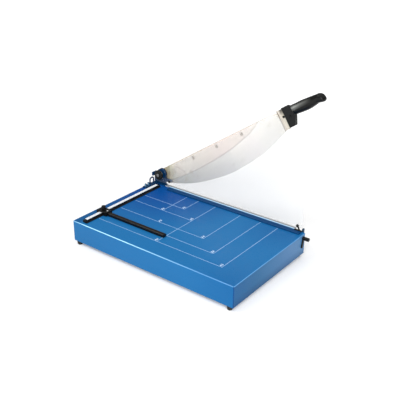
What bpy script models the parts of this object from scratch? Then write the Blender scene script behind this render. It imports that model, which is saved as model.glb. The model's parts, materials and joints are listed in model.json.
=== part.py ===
"""A3 guillotine paper cutter: sheet-steel base, fixed counter blade, lever blade on a rear
pivot, paper clamp with a cam lever, fence with a sliding back stop, and a clear hand guard.

Lengths are in metres. Pieces are placed in the paper frame: X is zero at the cutting line and
grows to the right, Y is zero at the fence and grows to the rear, Z is zero on the bed. The
frame empty carries everything and puts the origin on the ground under the middle of the
cutter. The blade stands raised, as it rests between two cuts.
"""
import math

import bmesh
import bpy
from mathutils import Matrix, Vector

MM = 0.001

# Fits
GAP = 0.3 * MM
OVERRUN = 1.0 * MM
WELD = 0.01 * MM
SLIDE_GAP = 0.6 * MM

# Base: a folded tray of sheet steel, open below, with a turned-in rim
BED_WIDTH = 337 * MM
BED_LENGTH = 542.5 * MM
BASE_HEIGHT = 61.5 * MM
SHEET = 1.5 * MM
BEND_RADIUS = 2.0 * MM
RIM_WIDTH = 22 * MM
BED_TO_CUT = 14 * MM
FENCE_TO_REAR = 49.5 * MM

# Stiffening ribs under the bed
RIB_FROM_FRONT = 163 * MM
RIB_FROM_REAR = 199.5 * MM
RIB_WIDTH = 26 * MM
RIB_DEPTH = 22 * MM
RIB_SHEET = 1.5 * MM
RIB_END_GAP = 5 * MM

# Rubber feet, pushed through the rim
FOOT_HEIGHT = 10.7 * MM
FOOT_RADIUS = 7.5 * MM
FOOT_TAPER = 1.0 * MM
FOOT_INSET_X = 8 * MM
FOOT_INSET_Y = 14.5 * MM
FOOT_STEM_RADIUS = 3.7 * MM
FOOT_BARB_RADIUS = 5.2 * MM
FOOT_BARB_HEIGHT = 3.4 * MM

# Counter blade along the right side
COUNTER_TO_POST = 23.5 * MM
COUNTER_DEPTH = 30 * MM
COUNTER_CHAMFER = 0.8 * MM

# Screws that hold the counter blade and the pivot bracket to the side wall
SIDE_SCREW_Z = -16 * MM
BRACKET_SCREW_REACH = 3 * MM
COUNTER_SCREW_REAR = 60 * MM
COUNTER_SCREW_FRONT = 56 * MM
SIDE_SCREW_RADIUS = 3 * MM
SIDE_SCREW_REACH = 8.5 * MM
SIDE_HEAD_RADIUS = 5 * MM
SIDE_HEAD_HEIGHT = 4.2 * MM
SOCKET_RADIUS = 2.3 * MM
SOCKET_DEPTH = 2.2 * MM

# Fence rail with its scale strip
RAIL_FROM_LEFT = 9.5 * MM
RAIL_RIGHT = -30 * MM
RAIL_FRONT_Y = 8 * MM
RAIL_DEPTH = 11 * MM
RAIL_HEIGHT = 7.5 * MM
RAIL_LIP = 4 * MM
RAIL_LIP_HEIGHT = 1.2 * MM
GROOVE_LOW = 2.8 * MM
GROOVE_HEIGHT = 2.2 * MM
GROOVE_DEPTH = 2.6 * MM
RAIL_CAP = 2.4 * MM
STRIP_THICKNESS = 0.6 * MM
STRIP_EDGE = 0.7 * MM
STRIP_LEFT_END = 7.5 * MM
STRIP_RIGHT_END = 7 * MM
RAIL_SCREW_LEFT = 41.5 * MM
RAIL_SCREW_RIGHT = 30 * MM
RAIL_SCREW_RADIUS = 2 * MM
RAIL_SCREW_REACH = 5 * MM
RAIL_HEAD_RADIUS = 4 * MM
RAIL_HEAD_HEIGHT = 2.6 * MM

# Back stop: carriage over the rail, bar, end cap, screw and lock knob
STOP_FROM_END = 74.5 * MM
CARRIAGE_WIDTH = 25 * MM
CARRIAGE_FRONT_Y = -8 * MM
CARRIAGE_REAR_Y = 29 * MM
CARRIAGE_ROOF = 3.8 * MM
CARRIAGE_EDGE = 0.8 * MM
BAR_WIDTH = 12 * MM
BAR_HEIGHT = 8 * MM
BAR_END_Y = -209 * MM
BAR_EDGE = 1.2 * MM
BAR_GROOVE_WIDTH = 3 * MM
BAR_GROOVE_DEPTH = 0.8 * MM
BAR_CAP = 3 * MM
BAR_SCREW_Y = -2.5 * MM
BAR_SCREW_RADIUS = 1.5 * MM
BAR_HEAD_RADIUS = 2.9 * MM
BAR_HEAD_HEIGHT = 1.8 * MM
BAR_SCREW_REACH = 4 * MM
KNOB_Y = 12.5 * MM
KNOB_RADIUS = 6.2 * MM
KNOB_HEIGHT = 11 * MM
KNOB_SHANK_RADIUS = 2.5 * MM
KNOB_EDGE = 1.0 * MM
KNOB_NECK_RADIUS = 4.2 * MM
KNOB_NECK_HEIGHT = 1.2 * MM
KNOB_FLUTES = 12
KNOB_FLUTE_RADIUS = 0.9 * MM

# Paper clamp
CLAMP_LEFT = -36 * MM
CLAMP_RIGHT = -17.5 * MM
CLAMP_REAR_Y = -24 * MM
CLAMP_FROM_FRONT = 9 * MM
CLAMP_REST = 0.5 * MM
CLAMP_THICKNESS = 4 * MM
CLAMP_CHAMFER = 1.4 * MM
RIDGE_WIDTH = 4.6 * MM
RIDGE_RISE = 1.4 * MM
RIDGE_SLOPE = 1.2 * MM
END_BLOCK_LENGTH = 22 * MM
END_BLOCK_HEIGHT = 5.2 * MM
END_BLOCK_EDGE = 0.6 * MM
END_BLOCK_WIDTH = 6.5 * MM
END_NOTCH_DEPTH = 2.2 * MM
PIN_X = -27 * MM
PIN_FROM_REAR = 24 * MM
PIN_FROM_FRONT = 44 * MM
PIN_RADIUS = 3 * MM
PIN_SOCKET_DEPTH = 2.8 * MM
PIN_END_Z = -40 * MM
PIN_HEAD_RADIUS = 4.6 * MM
PIN_HEAD_HEIGHT = 2.2 * MM
RETAINER_RADIUS = 8.5 * MM
RETAINER_THICKNESS = 1.6 * MM
CLAMP_SPRING_RADIUS = 6 * MM
CLAMP_SPRING_WIRE = 1.3 * MM
CLAMP_SPRING_CURLS = 8
STALK_X = -20.75 * MM
STALK_RADIUS = 2.2 * MM
STALK_FOOT = 7.4 * MM
STALK_RUN = 6 * MM
STALK_RISE = 9.2 * MM
STALK_BALL_RADIUS = 4.2 * MM

# Cam lever on the front wall
CAM_X = -27 * MM
CAM_Z = -10.5 * MM
CAM_SHAFT_RADIUS = 3 * MM
CAM_BASE_RADIUS = 5 * MM
CAM_LIFT = 3 * MM
CAM_TURN = math.radians(90)
CAM_WIDTH = 6 * MM
CAM_CREST = math.radians(15)
CAM_CREST_CLEARANCE = 0.65 * MM
FOLLOWER_FROM_FRONT = 20 * MM
FOLLOWER_RADIUS = 1.5 * MM
BUSH_RADIUS = 7 * MM
BUSH_LENGTH = 9 * MM
LEVER_THICKNESS = 3.2 * MM
LEVER_WIDTH = 6.4 * MM
LEVER_REACH = 28 * MM
LEVER_BOSS_RADIUS = 5.6 * MM
LEVER_LEAN = math.radians(13)
STUB_RADIUS = 5.2 * MM
STUB_LENGTH = 15 * MM
STUB_EDGE = 1.4 * MM

# Pivot: bracket, bolt, washer, pressure spring and hub
PIVOT_Y = 20 * MM
PIVOT_Z = 33 * MM
EAR_THICKNESS = 7 * MM
EAR_TO_CUT = 1.3 * MM
EAR_RADIUS = 16 * MM
BRACKET_DROP = 40 * MM
BRACKET_STEP = 2 * MM
BRACKET_REAR_GAP = 3.0 * MM
FOOT_PLATE_LEFT = -66 * MM
FOOT_PLATE_DEPTH = 15.5 * MM
FOOT_PLATE_THICKNESS = 3 * MM
EAR_HEEL = 6.5 * MM
WEB_LEFT = -22 * MM
WEB_THICKNESS = 5 * MM
WEB_HEIGHT = 36 * MM
WEB_ARM_LOW = 25 * MM
WEB_STEM_LEFT = -9.3 * MM
LUG_RADIUS = 4.3 * MM
GUARD_SCREW_Z = 16.3 * MM
BOLT_XS = (-45.5 * MM, -58.5 * MM)
BOLT_FROM_REAR = 9 * MM
BOLT_RADIUS = 2.5 * MM
BOLT_REACH = 12 * MM
HEX_RADIUS = 3.4 * MM
HEX_HEIGHT = 6 * MM
HEX_FLANGE_RADIUS = 4.4 * MM
HEX_FLANGE_HEIGHT = 1.2 * MM
PIVOT_RADIUS = 5 * MM
WASHER_RADIUS = 16.5 * MM
WASHER_THICKNESS = 1.0 * MM
PIVOT_FLANGE_RADIUS = 11 * MM
PIVOT_FLANGE_THICKNESS = 1.8 * MM
PIVOT_HEX_RADIUS = 9.4 * MM
PIVOT_HEX_HEIGHT = 6 * MM
PRESSURE_SPRING_RADIUS = 9 * MM
PRESSURE_SPRING_WIRE = 1.6 * MM
PRESSURE_SPRING_CURLS = 2.5
PRESSURE_SPRING_LENGTH = 9.4 * MM
HUB_RADIUS = 15 * MM
HUB_LENGTH = 5.6 * MM
HUB_EDGE = 1.2 * MM
HUB_SCALLOPS = 8
HUB_SCALLOP_RADIUS = 3.4 * MM
HUB_SCALLOP_BITE = 1.4 * MM
BOLT_END = 2 * MM

# Wire hoop on the rear edge
HOOP_LEFT = -35 * MM
HOOP_WIDTH = 16 * MM
HOOP_HEIGHT = 21 * MM
HOOP_WIRE = 2.2 * MM
HOOP_FROM_REAR = 6.5 * MM
HOOP_BELOW = 8 * MM
HOOP_CORNER = 6 * MM

# Lever blade, measured from the pivot along the blade and down from its spine
RAISED_ANGLE = math.radians(33.8)
BLADE_TO_FRONT = 27 * MM
BLADE_DEPTH = 98 * MM
BLADE_THICKNESS = 4 * MM
PIVOT_TO_SPINE = 11.9 * MM
BLADE_BOSS_RADIUS = PIVOT_TO_SPINE
ARM_ROOT_REACH = 17 * MM
BLADE_BEVEL = 7 * MM
EDGE_ALONG_SHARES = (0.019, 0.127, 0.237, 0.379, 0.522, 0.668, 0.817, 0.970, 1.000)
EDGE_DROP_SHARES = (0.495, 0.701, 0.852, 0.957, 1.000, 0.950, 0.838, 0.605, 0.537)
TANG_LENGTH = 34 * MM
TANG_TOP_DROP = 4 * MM
TANG_LOW_DROP = 44 * MM
SPINE_SLOPE = 36 * MM
RELIEF = 0.4 * MM
RELIEF_ALONG_SHARES = (0.027, 0.203, 0.364, 0.522, 0.601, 0.759, 0.810, 0.868)
RELIEF_DROP_SHARES = (0.440, 0.490, 0.480, 0.418, 0.367, 0.204, 0.102, -0.050)
ARM_THICKNESS = 5 * MM
ARM_SHORT = 61 * MM
ARM_TOP_DROP = 1.5 * MM
ARM_ROOT_DROP = 34 * MM
ARM_TIP_DROP = 18 * MM
BLADE_SCREW_SHARES = (0.2942, 0.5, 0.7078)
BLADE_SCREW_DROP = 11 * MM
BLADE_SCREW_RADIUS = 2.5 * MM
BLADE_HEAD_RADIUS = 4.8 * MM
BLADE_HEAD_HEIGHT = 2.2 * MM
SCREW_SHY = 0.4 * MM

# Handle end
PLATE_LAP = 5 * MM
PLATE_WIDTH = 18 * MM
PLATE_TOP_DROP = -2 * MM
PLATE_LOW_DROP = 54 * MM
PLATE_THICKNESS = 2.3 * MM
BRACKET_CHEEK = 3.6 * MM
BRACKET_LENGTH = 43 * MM
BRACKET_TOP_DROP = -4 * MM
BRACKET_LOW_DROP = 52 * MM
BRACKET_NOSE = 12 * MM
BRACKET_NOSE_DROP = 29 * MM
HANDLE_BOLT_SET = 28 * MM
HANDLE_BOLT_DROP = 25 * MM
PLATE_BOLT_SET = 9.2 * MM
PLATE_BOLT_DROP = 19 * MM
HANDLE_BOLT_RADIUS = 2.5 * MM
HANDLE_HEAD_RADIUS = 3.4 * MM
HANDLE_HEAD_HEIGHT = 2 * MM
GRIP_LENGTH = 98 * MM
GRIP_HEIGHT = 35.5 * MM
GRIP_WIDTH = 27 * MM
GRIP_AXIS_DROP = 11.3 * MM
GRIP_ALONG_SHARES = (0.0, 0.04, 0.14, 0.30, 0.50, 0.68, 0.80, 0.90, 0.965, 1.0)
GRIP_TOP_SHARES = (0.33, 0.33, 0.32, 0.325, 0.29, 0.25, 0.22, 0.18, 0.02, -0.20)
GRIP_LOW_SHARES = (-0.36, -0.44, -0.48, -0.52, -0.53, -0.47, -0.42, -0.48, -0.48, -0.40)
GRIP_WIDTH_SHARES = (0.70, 0.84, 0.92, 0.98, 1.00, 0.96, 0.92, 0.90, 0.78, 0.40)
GRIP_SIDES = 20
GRIP_SQUARENESS = 2.5

# Clear guard between the clamp and the blade
GUARD_THICKNESS = 3 * MM
GUARD_CENTRE_Y = 23 * MM
GUARD_TO_POST = 3.5 * MM
GUARD_LIFT = 7 * MM
GUARD_TOP_Z = 57.6 * MM
GUARD_CORNER = 26 * MM
GUARD_REAR_Y = -13 * MM
GUARD_TAB_Y = 37 * MM
GUARD_TAB_HEIGHT = 15 * MM
GUARD_SCREW_YS = (-15 * MM, 31 * MM)
GUARD_SCREW_RADIUS = 2 * MM
GUARD_HEAD_RADIUS = 4 * MM
GUARD_HEAD_HEIGHT = 2.4 * MM
POST_FROM_FRONT = 7 * MM
POST_LENGTH = 5 * MM
POST_TOP = 8 * MM
POST_DROP = 16 * MM
POST_CHEEK = 1.2 * MM

# Facets of round pieces
ROUND = 24
SMALL = 16
FINE = 2 * SMALL

# Places that follow from the sizes
BED_RIGHT = -BED_TO_CUT
BED_LEFT = BED_RIGHT - BED_WIDTH
BED_REAR = FENCE_TO_REAR
BED_FRONT = BED_REAR - BED_LENGTH
BED_UNDERSIDE = -SHEET
BASE_FLOOR = -BASE_HEIGHT
GROUND = BASE_FLOOR - FOOT_HEIGHT
RIB_FRONT_Y = BED_FRONT + RIB_FROM_FRONT
RIB_REAR_Y = BED_REAR - RIB_FROM_REAR
POST_FRONT_Y = BED_FRONT + POST_FROM_FRONT
POST_REAR_Y = POST_FRONT_Y + POST_LENGTH
COUNTER_FRONT_Y = POST_REAR_Y + COUNTER_TO_POST
COUNTER_SCREW_YS = (-COUNTER_SCREW_REAR,
                    (COUNTER_FRONT_Y + COUNTER_SCREW_FRONT - COUNTER_SCREW_REAR) / 2,
                    COUNTER_FRONT_Y + COUNTER_SCREW_FRONT)
SIDE_SCREW_YS = (PIVOT_Y + BRACKET_SCREW_REACH,) + COUNTER_SCREW_YS
RAIL_LEFT = BED_LEFT + RAIL_FROM_LEFT
RAIL_SCREW_XS = (RAIL_LEFT + RAIL_SCREW_LEFT, RAIL_RIGHT - RAIL_SCREW_RIGHT)
STOP_X = RAIL_LEFT + STOP_FROM_END
CLAMP_FRONT_Y = BED_FRONT + CLAMP_FROM_FRONT
PIN_YS = (CLAMP_REAR_Y - PIN_FROM_REAR, CLAMP_FRONT_Y + PIN_FROM_FRONT)
FOLLOWER_Y = BED_FRONT + FOLLOWER_FROM_FRONT
GUARD_RADIUS = GUARD_CENTRE_Y - POST_FRONT_Y - GUARD_TO_POST
BLADE_REACH = PIVOT_Y - BED_FRONT - BLADE_TO_FRONT
TANG_REACH = BLADE_REACH + TANG_LENGTH
SPINE_END = BLADE_REACH - SPINE_SLOPE
ARM_REACH = BLADE_REACH - ARM_SHORT
BLADE_SCREW_REACHES = tuple(BLADE_REACH * share for share in BLADE_SCREW_SHARES)
PLATE_REACH = BLADE_REACH - PLATE_LAP
BRACKET_END_REACH = BLADE_REACH + BRACKET_LENGTH
HANDLE_BOLT_REACH = BLADE_REACH + HANDLE_BOLT_SET
PLATE_BOLT_REACH = BLADE_REACH + PLATE_BOLT_SET
EAR_RIGHT = -EAR_TO_CUT
EAR_LEFT = EAR_RIGHT - EAR_THICKNESS
BRACKET_REAR = BED_REAR - BRACKET_REAR_GAP
COUNTER_LEFT = BED_RIGHT + GAP
GUARD_RIGHT = EAR_LEFT - GAP
GUARD_LEFT = GUARD_RIGHT - GUARD_THICKNESS
BLADE_LEFT = GAP
BLADE_RIGHT = BLADE_LEFT + BLADE_THICKNESS
ARM_LEFT = BLADE_RIGHT + GAP
ARM_RIGHT = ARM_LEFT + ARM_THICKNESS
PIVOT_FLANGE_LEFT = ARM_RIGHT + GAP
PIVOT_HEAD_LEFT = PIVOT_FLANGE_LEFT + PIVOT_FLANGE_THICKNESS
PIVOT_HEAD_RIGHT = PIVOT_HEAD_LEFT + PIVOT_HEX_HEIGHT
HUB_RIGHT = EAR_LEFT - PRESSURE_SPRING_LENGTH
HUB_LEFT = HUB_RIGHT - HUB_LENGTH
STRIP_TOP = RAIL_HEIGHT + GAP + STRIP_THICKNESS
CARRIAGE_CEILING = STRIP_TOP + GAP
CARRIAGE_TOP = CARRIAGE_CEILING + CARRIAGE_ROOF
KNOB_BASE = CARRIAGE_TOP + GAP
LEVER_BACK = BED_FRONT - SLIDE_GAP
LEVER_FRONT = LEVER_BACK - LEVER_THICKNESS
STUB_FRONT = LEVER_FRONT - GAP - STUB_LENGTH
FOLLOWER_Z = CAM_Z + CAM_BASE_RADIUS + CAM_CREST_CLEARANCE
MIDDLE_X = (BED_LEFT + PIVOT_HEAD_RIGHT) / 2
MIDDLE_Y = (STUB_FRONT + BED_REAR) / 2

# Paints, metals and plastics: colour, roughness, metallic, alpha
FINISHES = {
    "blue_paint": ((0.018, 0.125, 0.380), 0.38, 0.0, 1.0),
    "black_plastic": ((0.012, 0.013, 0.014), 0.45, 0.0, 1.0),
    "rubber": ((0.015, 0.015, 0.015), 0.80, 0.0, 1.0),
    "ground_steel": ((0.62, 0.63, 0.65), 0.30, 1.0, 1.0),
    "zinc_steel": ((0.55, 0.56, 0.58), 0.35, 1.0, 1.0),
    "blade_steel": ((0.74, 0.72, 0.69), 0.32, 1.0, 1.0),
    "satin_steel": ((0.72, 0.68, 0.62), 0.35, 1.0, 1.0),
    "black_anodised": ((0.014, 0.014, 0.016), 0.40, 0.5, 1.0),
    "white_print": ((0.80, 0.83, 0.86), 0.45, 0.0, 1.0),
    "spring_steel": ((0.30, 0.30, 0.31), 0.35, 1.0, 1.0),
    "clear_plastic": ((0.90, 0.92, 0.93), 0.08, 0.0, 0.25),
    "clamp_blue": ((0.020, 0.160, 0.330), 0.35, 0.2, 1.0),
}


def clear_scene():
    """Remove every object so that the file starts empty."""
    for old in list(bpy.data.objects):
        bpy.data.objects.remove(old, do_unlink=True)


def new_collection(name):
    """Make a collection under the scene."""
    collection = bpy.data.collections.new(name)
    bpy.context.scene.collection.children.link(collection)
    return collection


def make_finish(name):
    """Make the Principled material of one paint, metal or plastic."""
    colour, roughness, metallic, alpha = FINISHES[name]
    material = bpy.data.materials.new(name)
    material.use_nodes = True
    shader = material.node_tree.nodes["Principled BSDF"]
    shader.inputs["Base Color"].default_value = (*colour, 1.0)
    shader.inputs["Roughness"].default_value = roughness
    shader.inputs["Metallic"].default_value = metallic
    shader.inputs["Alpha"].default_value = alpha
    material.diffuse_color = (*colour, alpha)
    return material


clear_scene()
PARTS = new_collection("guillotine_paper_cutter")
CUTTERS = new_collection("cutters")


def carrier(name, place, parent=None):
    """Add an empty that carries pieces; place is in the paper frame."""
    empty = bpy.data.objects.new(name, None)
    PARTS.objects.link(empty)
    if parent is not None:
        empty.parent = parent
    empty.location = place
    return empty


FRAME = carrier("cutter_frame", (-MIDDLE_X, -MIDDLE_Y, -GROUND))
BLADE_AXIS = carrier("blade_axis", (0, PIVOT_Y, PIVOT_Z), FRAME)
BLADE_AXIS.rotation_euler = (-RAISED_ANGLE, 0, 0)
CLAMP_GUIDE = carrier("clamp_guide", (PIN_X, FOLLOWER_Y, CLAMP_REST), FRAME)
CAM_AXIS = carrier("cam_axis", (CAM_X, BED_FRONT, CAM_Z), FRAME)
STOP_GUIDE = carrier("stop_guide", (STOP_X, RAIL_FRONT_Y, RAIL_HEIGHT), FRAME)
KNOB_AXIS = carrier("knob_axis", (STOP_X, KNOB_Y, KNOB_BASE), FRAME)


def settle(piece, holder, place, cutter=False):
    """Hang a piece on its carrier; place is in the carrier's own frame."""
    (CUTTERS if cutter else PARTS).objects.link(piece)
    piece.parent = holder
    piece.location = place
    if cutter:
        piece.hide_render = True
        piece.display_type = "WIRE"
    return piece


def dress(piece, finish):
    """Give a piece its own material."""
    material = make_finish(finish)
    material.name = piece.name + "_" + finish
    piece.data.materials.append(material)
    return piece


def from_frame(holder, place):
    """Turn a place in the paper frame into one under a carrier.

    A place on the tilted blade is already in the blade's own frame and stays as it is.
    """
    if holder in (FRAME, BLADE_AXIS):
        return Vector(place)
    return Vector(place) - holder.location


def shade(mesh, angle=35):
    """Smooth a round piece but keep its sharp corners."""
    mesh.shade_smooth()
    mesh.set_sharp_from_angle(angle=math.radians(angle))


def soften(piece, width, segments=2):
    """Round the sharp edges of a piece."""
    bevel = piece.modifiers.new("edges", "BEVEL")
    bevel.width = width
    bevel.segments = segments
    bevel.limit_method = "ANGLE"
    bevel.angle_limit = math.radians(40)
    return piece


def block(name, low, high, holder=FRAME, cutter=False):
    """Make a box between two corners given in the paper frame."""
    low, high = Vector(low), Vector(high)
    mesh = bpy.data.meshes.new(name)
    work = bmesh.new()
    bmesh.ops.create_cube(work, size=1.0)
    bmesh.ops.scale(work, vec=high - low, verts=work.verts)
    work.to_mesh(mesh)
    work.free()
    piece = bpy.data.objects.new(name, mesh)
    middle = (low + high) / 2
    return settle(piece, holder, from_frame(holder, middle), cutter)


AXIS_TURNS = {"X": (0, math.pi / 2, 0), "Y": (math.pi / 2, 0, 0), "Z": (0, 0, 0)}


def rod(name, axis, place, radius, length, holder=FRAME, cutter=False, sides=ROUND, far=None):
    """Make a capped cylinder, or a cone with another far radius, centred on its place.

    Along Y the far end is at the front, along X at the right and along Z at the top.
    """
    mesh = bpy.data.meshes.new(name)
    work = bmesh.new()
    bmesh.ops.create_cone(work, cap_ends=True, segments=sides, radius1=radius,
                          radius2=radius if far is None else far, depth=length)
    work.to_mesh(mesh)
    work.free()
    shade(mesh)
    piece = bpy.data.objects.new(name, mesh)
    piece.rotation_euler = AXIS_TURNS[axis]
    return settle(piece, holder, from_frame(holder, place), cutter)


def turned(name, axis, place, profile, holder=FRAME, ring=False, sides=ROUND):
    """Turn a profile of (radius, height) pairs, top to bottom on the outer side.

    The profile's heights run along the axis from the place; a ring closes on itself.
    """
    count = len(profile)
    edges = [(index, index + 1) for index in range(count - 1)]
    if ring:
        edges.append((count - 1, 0))
    mesh = bpy.data.meshes.new(name)
    mesh.from_pydata([(radius, 0, height) for radius, height in profile], edges, [])
    piece = bpy.data.objects.new(name, mesh)
    screw = piece.modifiers.new("turn", "SCREW")
    screw.axis = "Z"
    screw.steps = sides
    screw.render_steps = sides
    screw.use_merge_vertices = True
    screw.merge_threshold = WELD
    screw.use_smooth_shade = False
    piece.rotation_euler = AXIS_TURNS[axis]
    return settle(piece, holder, from_frame(holder, place))


PLANE_TURNS = {
    "XY": Matrix.Identity(4),
    "YZ": Matrix(((0, 0, 1, 0), (1, 0, 0, 0), (0, 1, 0, 0), (0, 0, 0, 1))),
    "XZ": Matrix(((1, 0, 0, 0), (0, 0, -1, 0), (0, 1, 0, 0), (0, 0, 0, 1))),
}


def sheet(name, plane, outlines, low, high, holder=FRAME, local=False, cutter=False):
    """Cut a plate from outlines in a plane, between two heights across it.

    The first outline is the edge and the others are holes. The outlines are in the paper
    frame, or in the carrier's own frame where local is true.
    """
    curve = bpy.data.curves.new(name, "CURVE")
    curve.dimensions = "2D"
    curve.fill_mode = "BOTH"
    curve.extrude = (high - low) / 2
    for outline in outlines:
        spline = curve.splines.new("POLY")
        spline.points.add(len(outline) - 1)
        for point, (across, up) in zip(spline.points, outline):
            point.co = (across, up, 0, 1)
        spline.use_cyclic_u = True
    drawn = bpy.data.objects.new(name + "_outline", curve)
    PARTS.objects.link(drawn)
    bpy.context.view_layer.update()
    graph = bpy.context.evaluated_depsgraph_get()
    mesh = bpy.data.meshes.new_from_object(drawn.evaluated_get(graph))
    mesh.name = name
    bpy.data.objects.remove(drawn, do_unlink=True)
    bpy.data.curves.remove(curve)
    work = bmesh.new()
    work.from_mesh(mesh)
    bmesh.ops.remove_doubles(work, verts=work.verts, dist=WELD)
    bmesh.ops.dissolve_limit(work, angle_limit=math.radians(0.5), verts=work.verts,
                             edges=work.edges)
    bmesh.ops.transform(work, matrix=PLANE_TURNS[plane], verts=work.verts)
    bmesh.ops.recalc_face_normals(work, faces=work.faces)
    work.to_mesh(mesh)
    work.free()
    piece = bpy.data.objects.new(name, mesh)
    middle = PLANE_TURNS[plane] @ Vector((0, 0, (low + high) / 2))
    if plane == "XZ":
        middle = -middle
    return settle(piece, holder, middle if local else from_frame(holder, middle), cutter)


def tube(name, points, radius, holder=FRAME, place=(0, 0, 0), rings=1):
    """Run a capped round wire along points given in the carrier's own frame."""
    curve = bpy.data.curves.new(name, "CURVE")
    curve.dimensions = "3D"
    curve.bevel_depth = radius
    curve.bevel_resolution = rings
    curve.use_fill_caps = True
    spline = curve.splines.new("POLY")
    spline.points.add(len(points) - 1)
    for point, spot in zip(spline.points, points):
        point.co = (*spot, 1)
    piece = bpy.data.objects.new(name, curve)
    return settle(piece, holder, place)


def cut(piece, cutter, operation="DIFFERENCE"):
    """Cut a piece with a cutter, or join the cutter to it."""
    boolean = piece.modifiers.new(operation.lower(), "BOOLEAN")
    boolean.operation = operation
    boolean.solver = "EXACT"
    boolean.object = cutter
    return piece


def drill(piece, axis, place, radius, length, holder=FRAME, sides=ROUND):
    """Drill a round hole whose middle is at the place."""
    name = piece.name + "_drill_" + str(len(piece.modifiers))
    return cut(piece, rod(name, axis, place, radius, length, holder, True, sides))


def arc(centre, radius, start, end, steps):
    """Points on a circle from one angle to another, in degrees."""
    spots = []
    for step in range(steps + 1):
        angle = math.radians(start + (end - start) * step / steps)
        spots.append((centre[0] + radius * math.cos(angle), centre[1] + radius * math.sin(angle)))
    return spots


def smooth_line(points, steps):
    """A Catmull-Rom line through the points, with even steps between each pair."""
    spots = []
    last = len(points) - 1
    for index in range(last):
        before = points[max(index - 1, 0)]
        start, end = points[index], points[index + 1]
        after = points[min(index + 2, last)]
        for step in range(steps):
            t = step / steps
            spots.append(tuple(
                0.5 * (2 * start[k] + (end[k] - before[k]) * t
                       + (2 * before[k] - 5 * start[k] + 4 * end[k] - after[k]) * t * t
                       + (3 * start[k] - before[k] - 3 * end[k] + after[k]) * t ** 3)
                for k in range(2)))
    spots.append(points[-1])
    return spots


def coil_points(radius, wire, length, curls, per_curl=9):
    """Points of a compression spring along Z, from its first seat to its last.

    Each end runs along the axis for one wire diameter, square to its seat, and the curls
    climb evenly between the two ends.
    """
    climb = length - 2 * wire
    count = round(curls * per_curl)
    spots = [(radius, 0, 0)]
    for step in range(count + 1):
        angle = 2 * math.pi * curls * step / count
        spots.append((radius * math.cos(angle), radius * math.sin(angle),
                      wire + climb * step / count))
    spots.append((spots[-1][0], spots[-1][1], length))
    return spots


def least_gap(points, wire, per_curl=9):
    """The least clear distance between two curls of a spring, from its points."""
    least = None
    for first in range(len(points)):
        for second in range(first + per_curl // 2 + 1, len(points) - 1):
            start, end = Vector(points[second]), Vector(points[second + 1])
            along = end - start
            share = (Vector(points[first]) - start).dot(along) / along.length_squared
            near = start + along * min(max(share, 0), 1)
            distance = (Vector(points[first]) - near).length - wire
            least = distance if least is None else min(least, distance)
    return least


def cap_screw(name, axis, seat, radius, reach, head_radius, head_height, holder, sign=1):
    """A screw with a round socket head. The seat is under the head; sign turns it about."""
    profile = [(0, head_height - SOCKET_DEPTH), (SOCKET_RADIUS, head_height - SOCKET_DEPTH),
               (SOCKET_RADIUS, head_height), (head_radius, head_height), (head_radius, 0),
               (radius, 0), (radius, -reach), (0, -reach)]
    piece = turned(name, axis, seat, profile, holder, sides=SMALL)
    if sign < 0:
        turns = [angle for angle in AXIS_TURNS[axis]]
        turns[0 if axis != "X" else 1] += math.pi
        piece.rotation_euler = turns
    return piece


def dome_screw(name, axis, seat, radius, reach, head_radius, head_height, holder, sign=1):
    """A screw with a low domed head, its seat under the head."""
    shoulder = head_height / 2
    profile = [(0, head_height), (head_radius / 2, head_height), (head_radius, shoulder),
               (head_radius, 0), (radius, 0), (radius, -reach), (0, -reach)]
    piece = turned(name, axis, seat, profile, holder, sides=SMALL)
    if sign < 0:
        turns = [angle for angle in AXIS_TURNS[axis]]
        turns[0 if axis != "X" else 1] += math.pi
        piece.rotation_euler = turns
    return piece


def twin_rods(name, axis, centre, spread, radius, length, count, holder=FRAME):
    """A cutter of round rods set evenly on a circle about an axis."""
    mesh = bpy.data.meshes.new(name)
    work = bmesh.new()
    for index in range(count):
        angle = 2 * math.pi * index / count
        spot = Vector((spread * math.cos(angle), spread * math.sin(angle), 0))
        bmesh.ops.create_cone(work, cap_ends=True, segments=SMALL, radius1=radius,
                              radius2=radius, depth=length, matrix=Matrix.Translation(spot))
    work.to_mesh(mesh)
    work.free()
    piece = bpy.data.objects.new(name, mesh)
    piece.rotation_euler = AXIS_TURNS[axis]
    return settle(piece, holder, from_frame(holder, centre), True)


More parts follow.
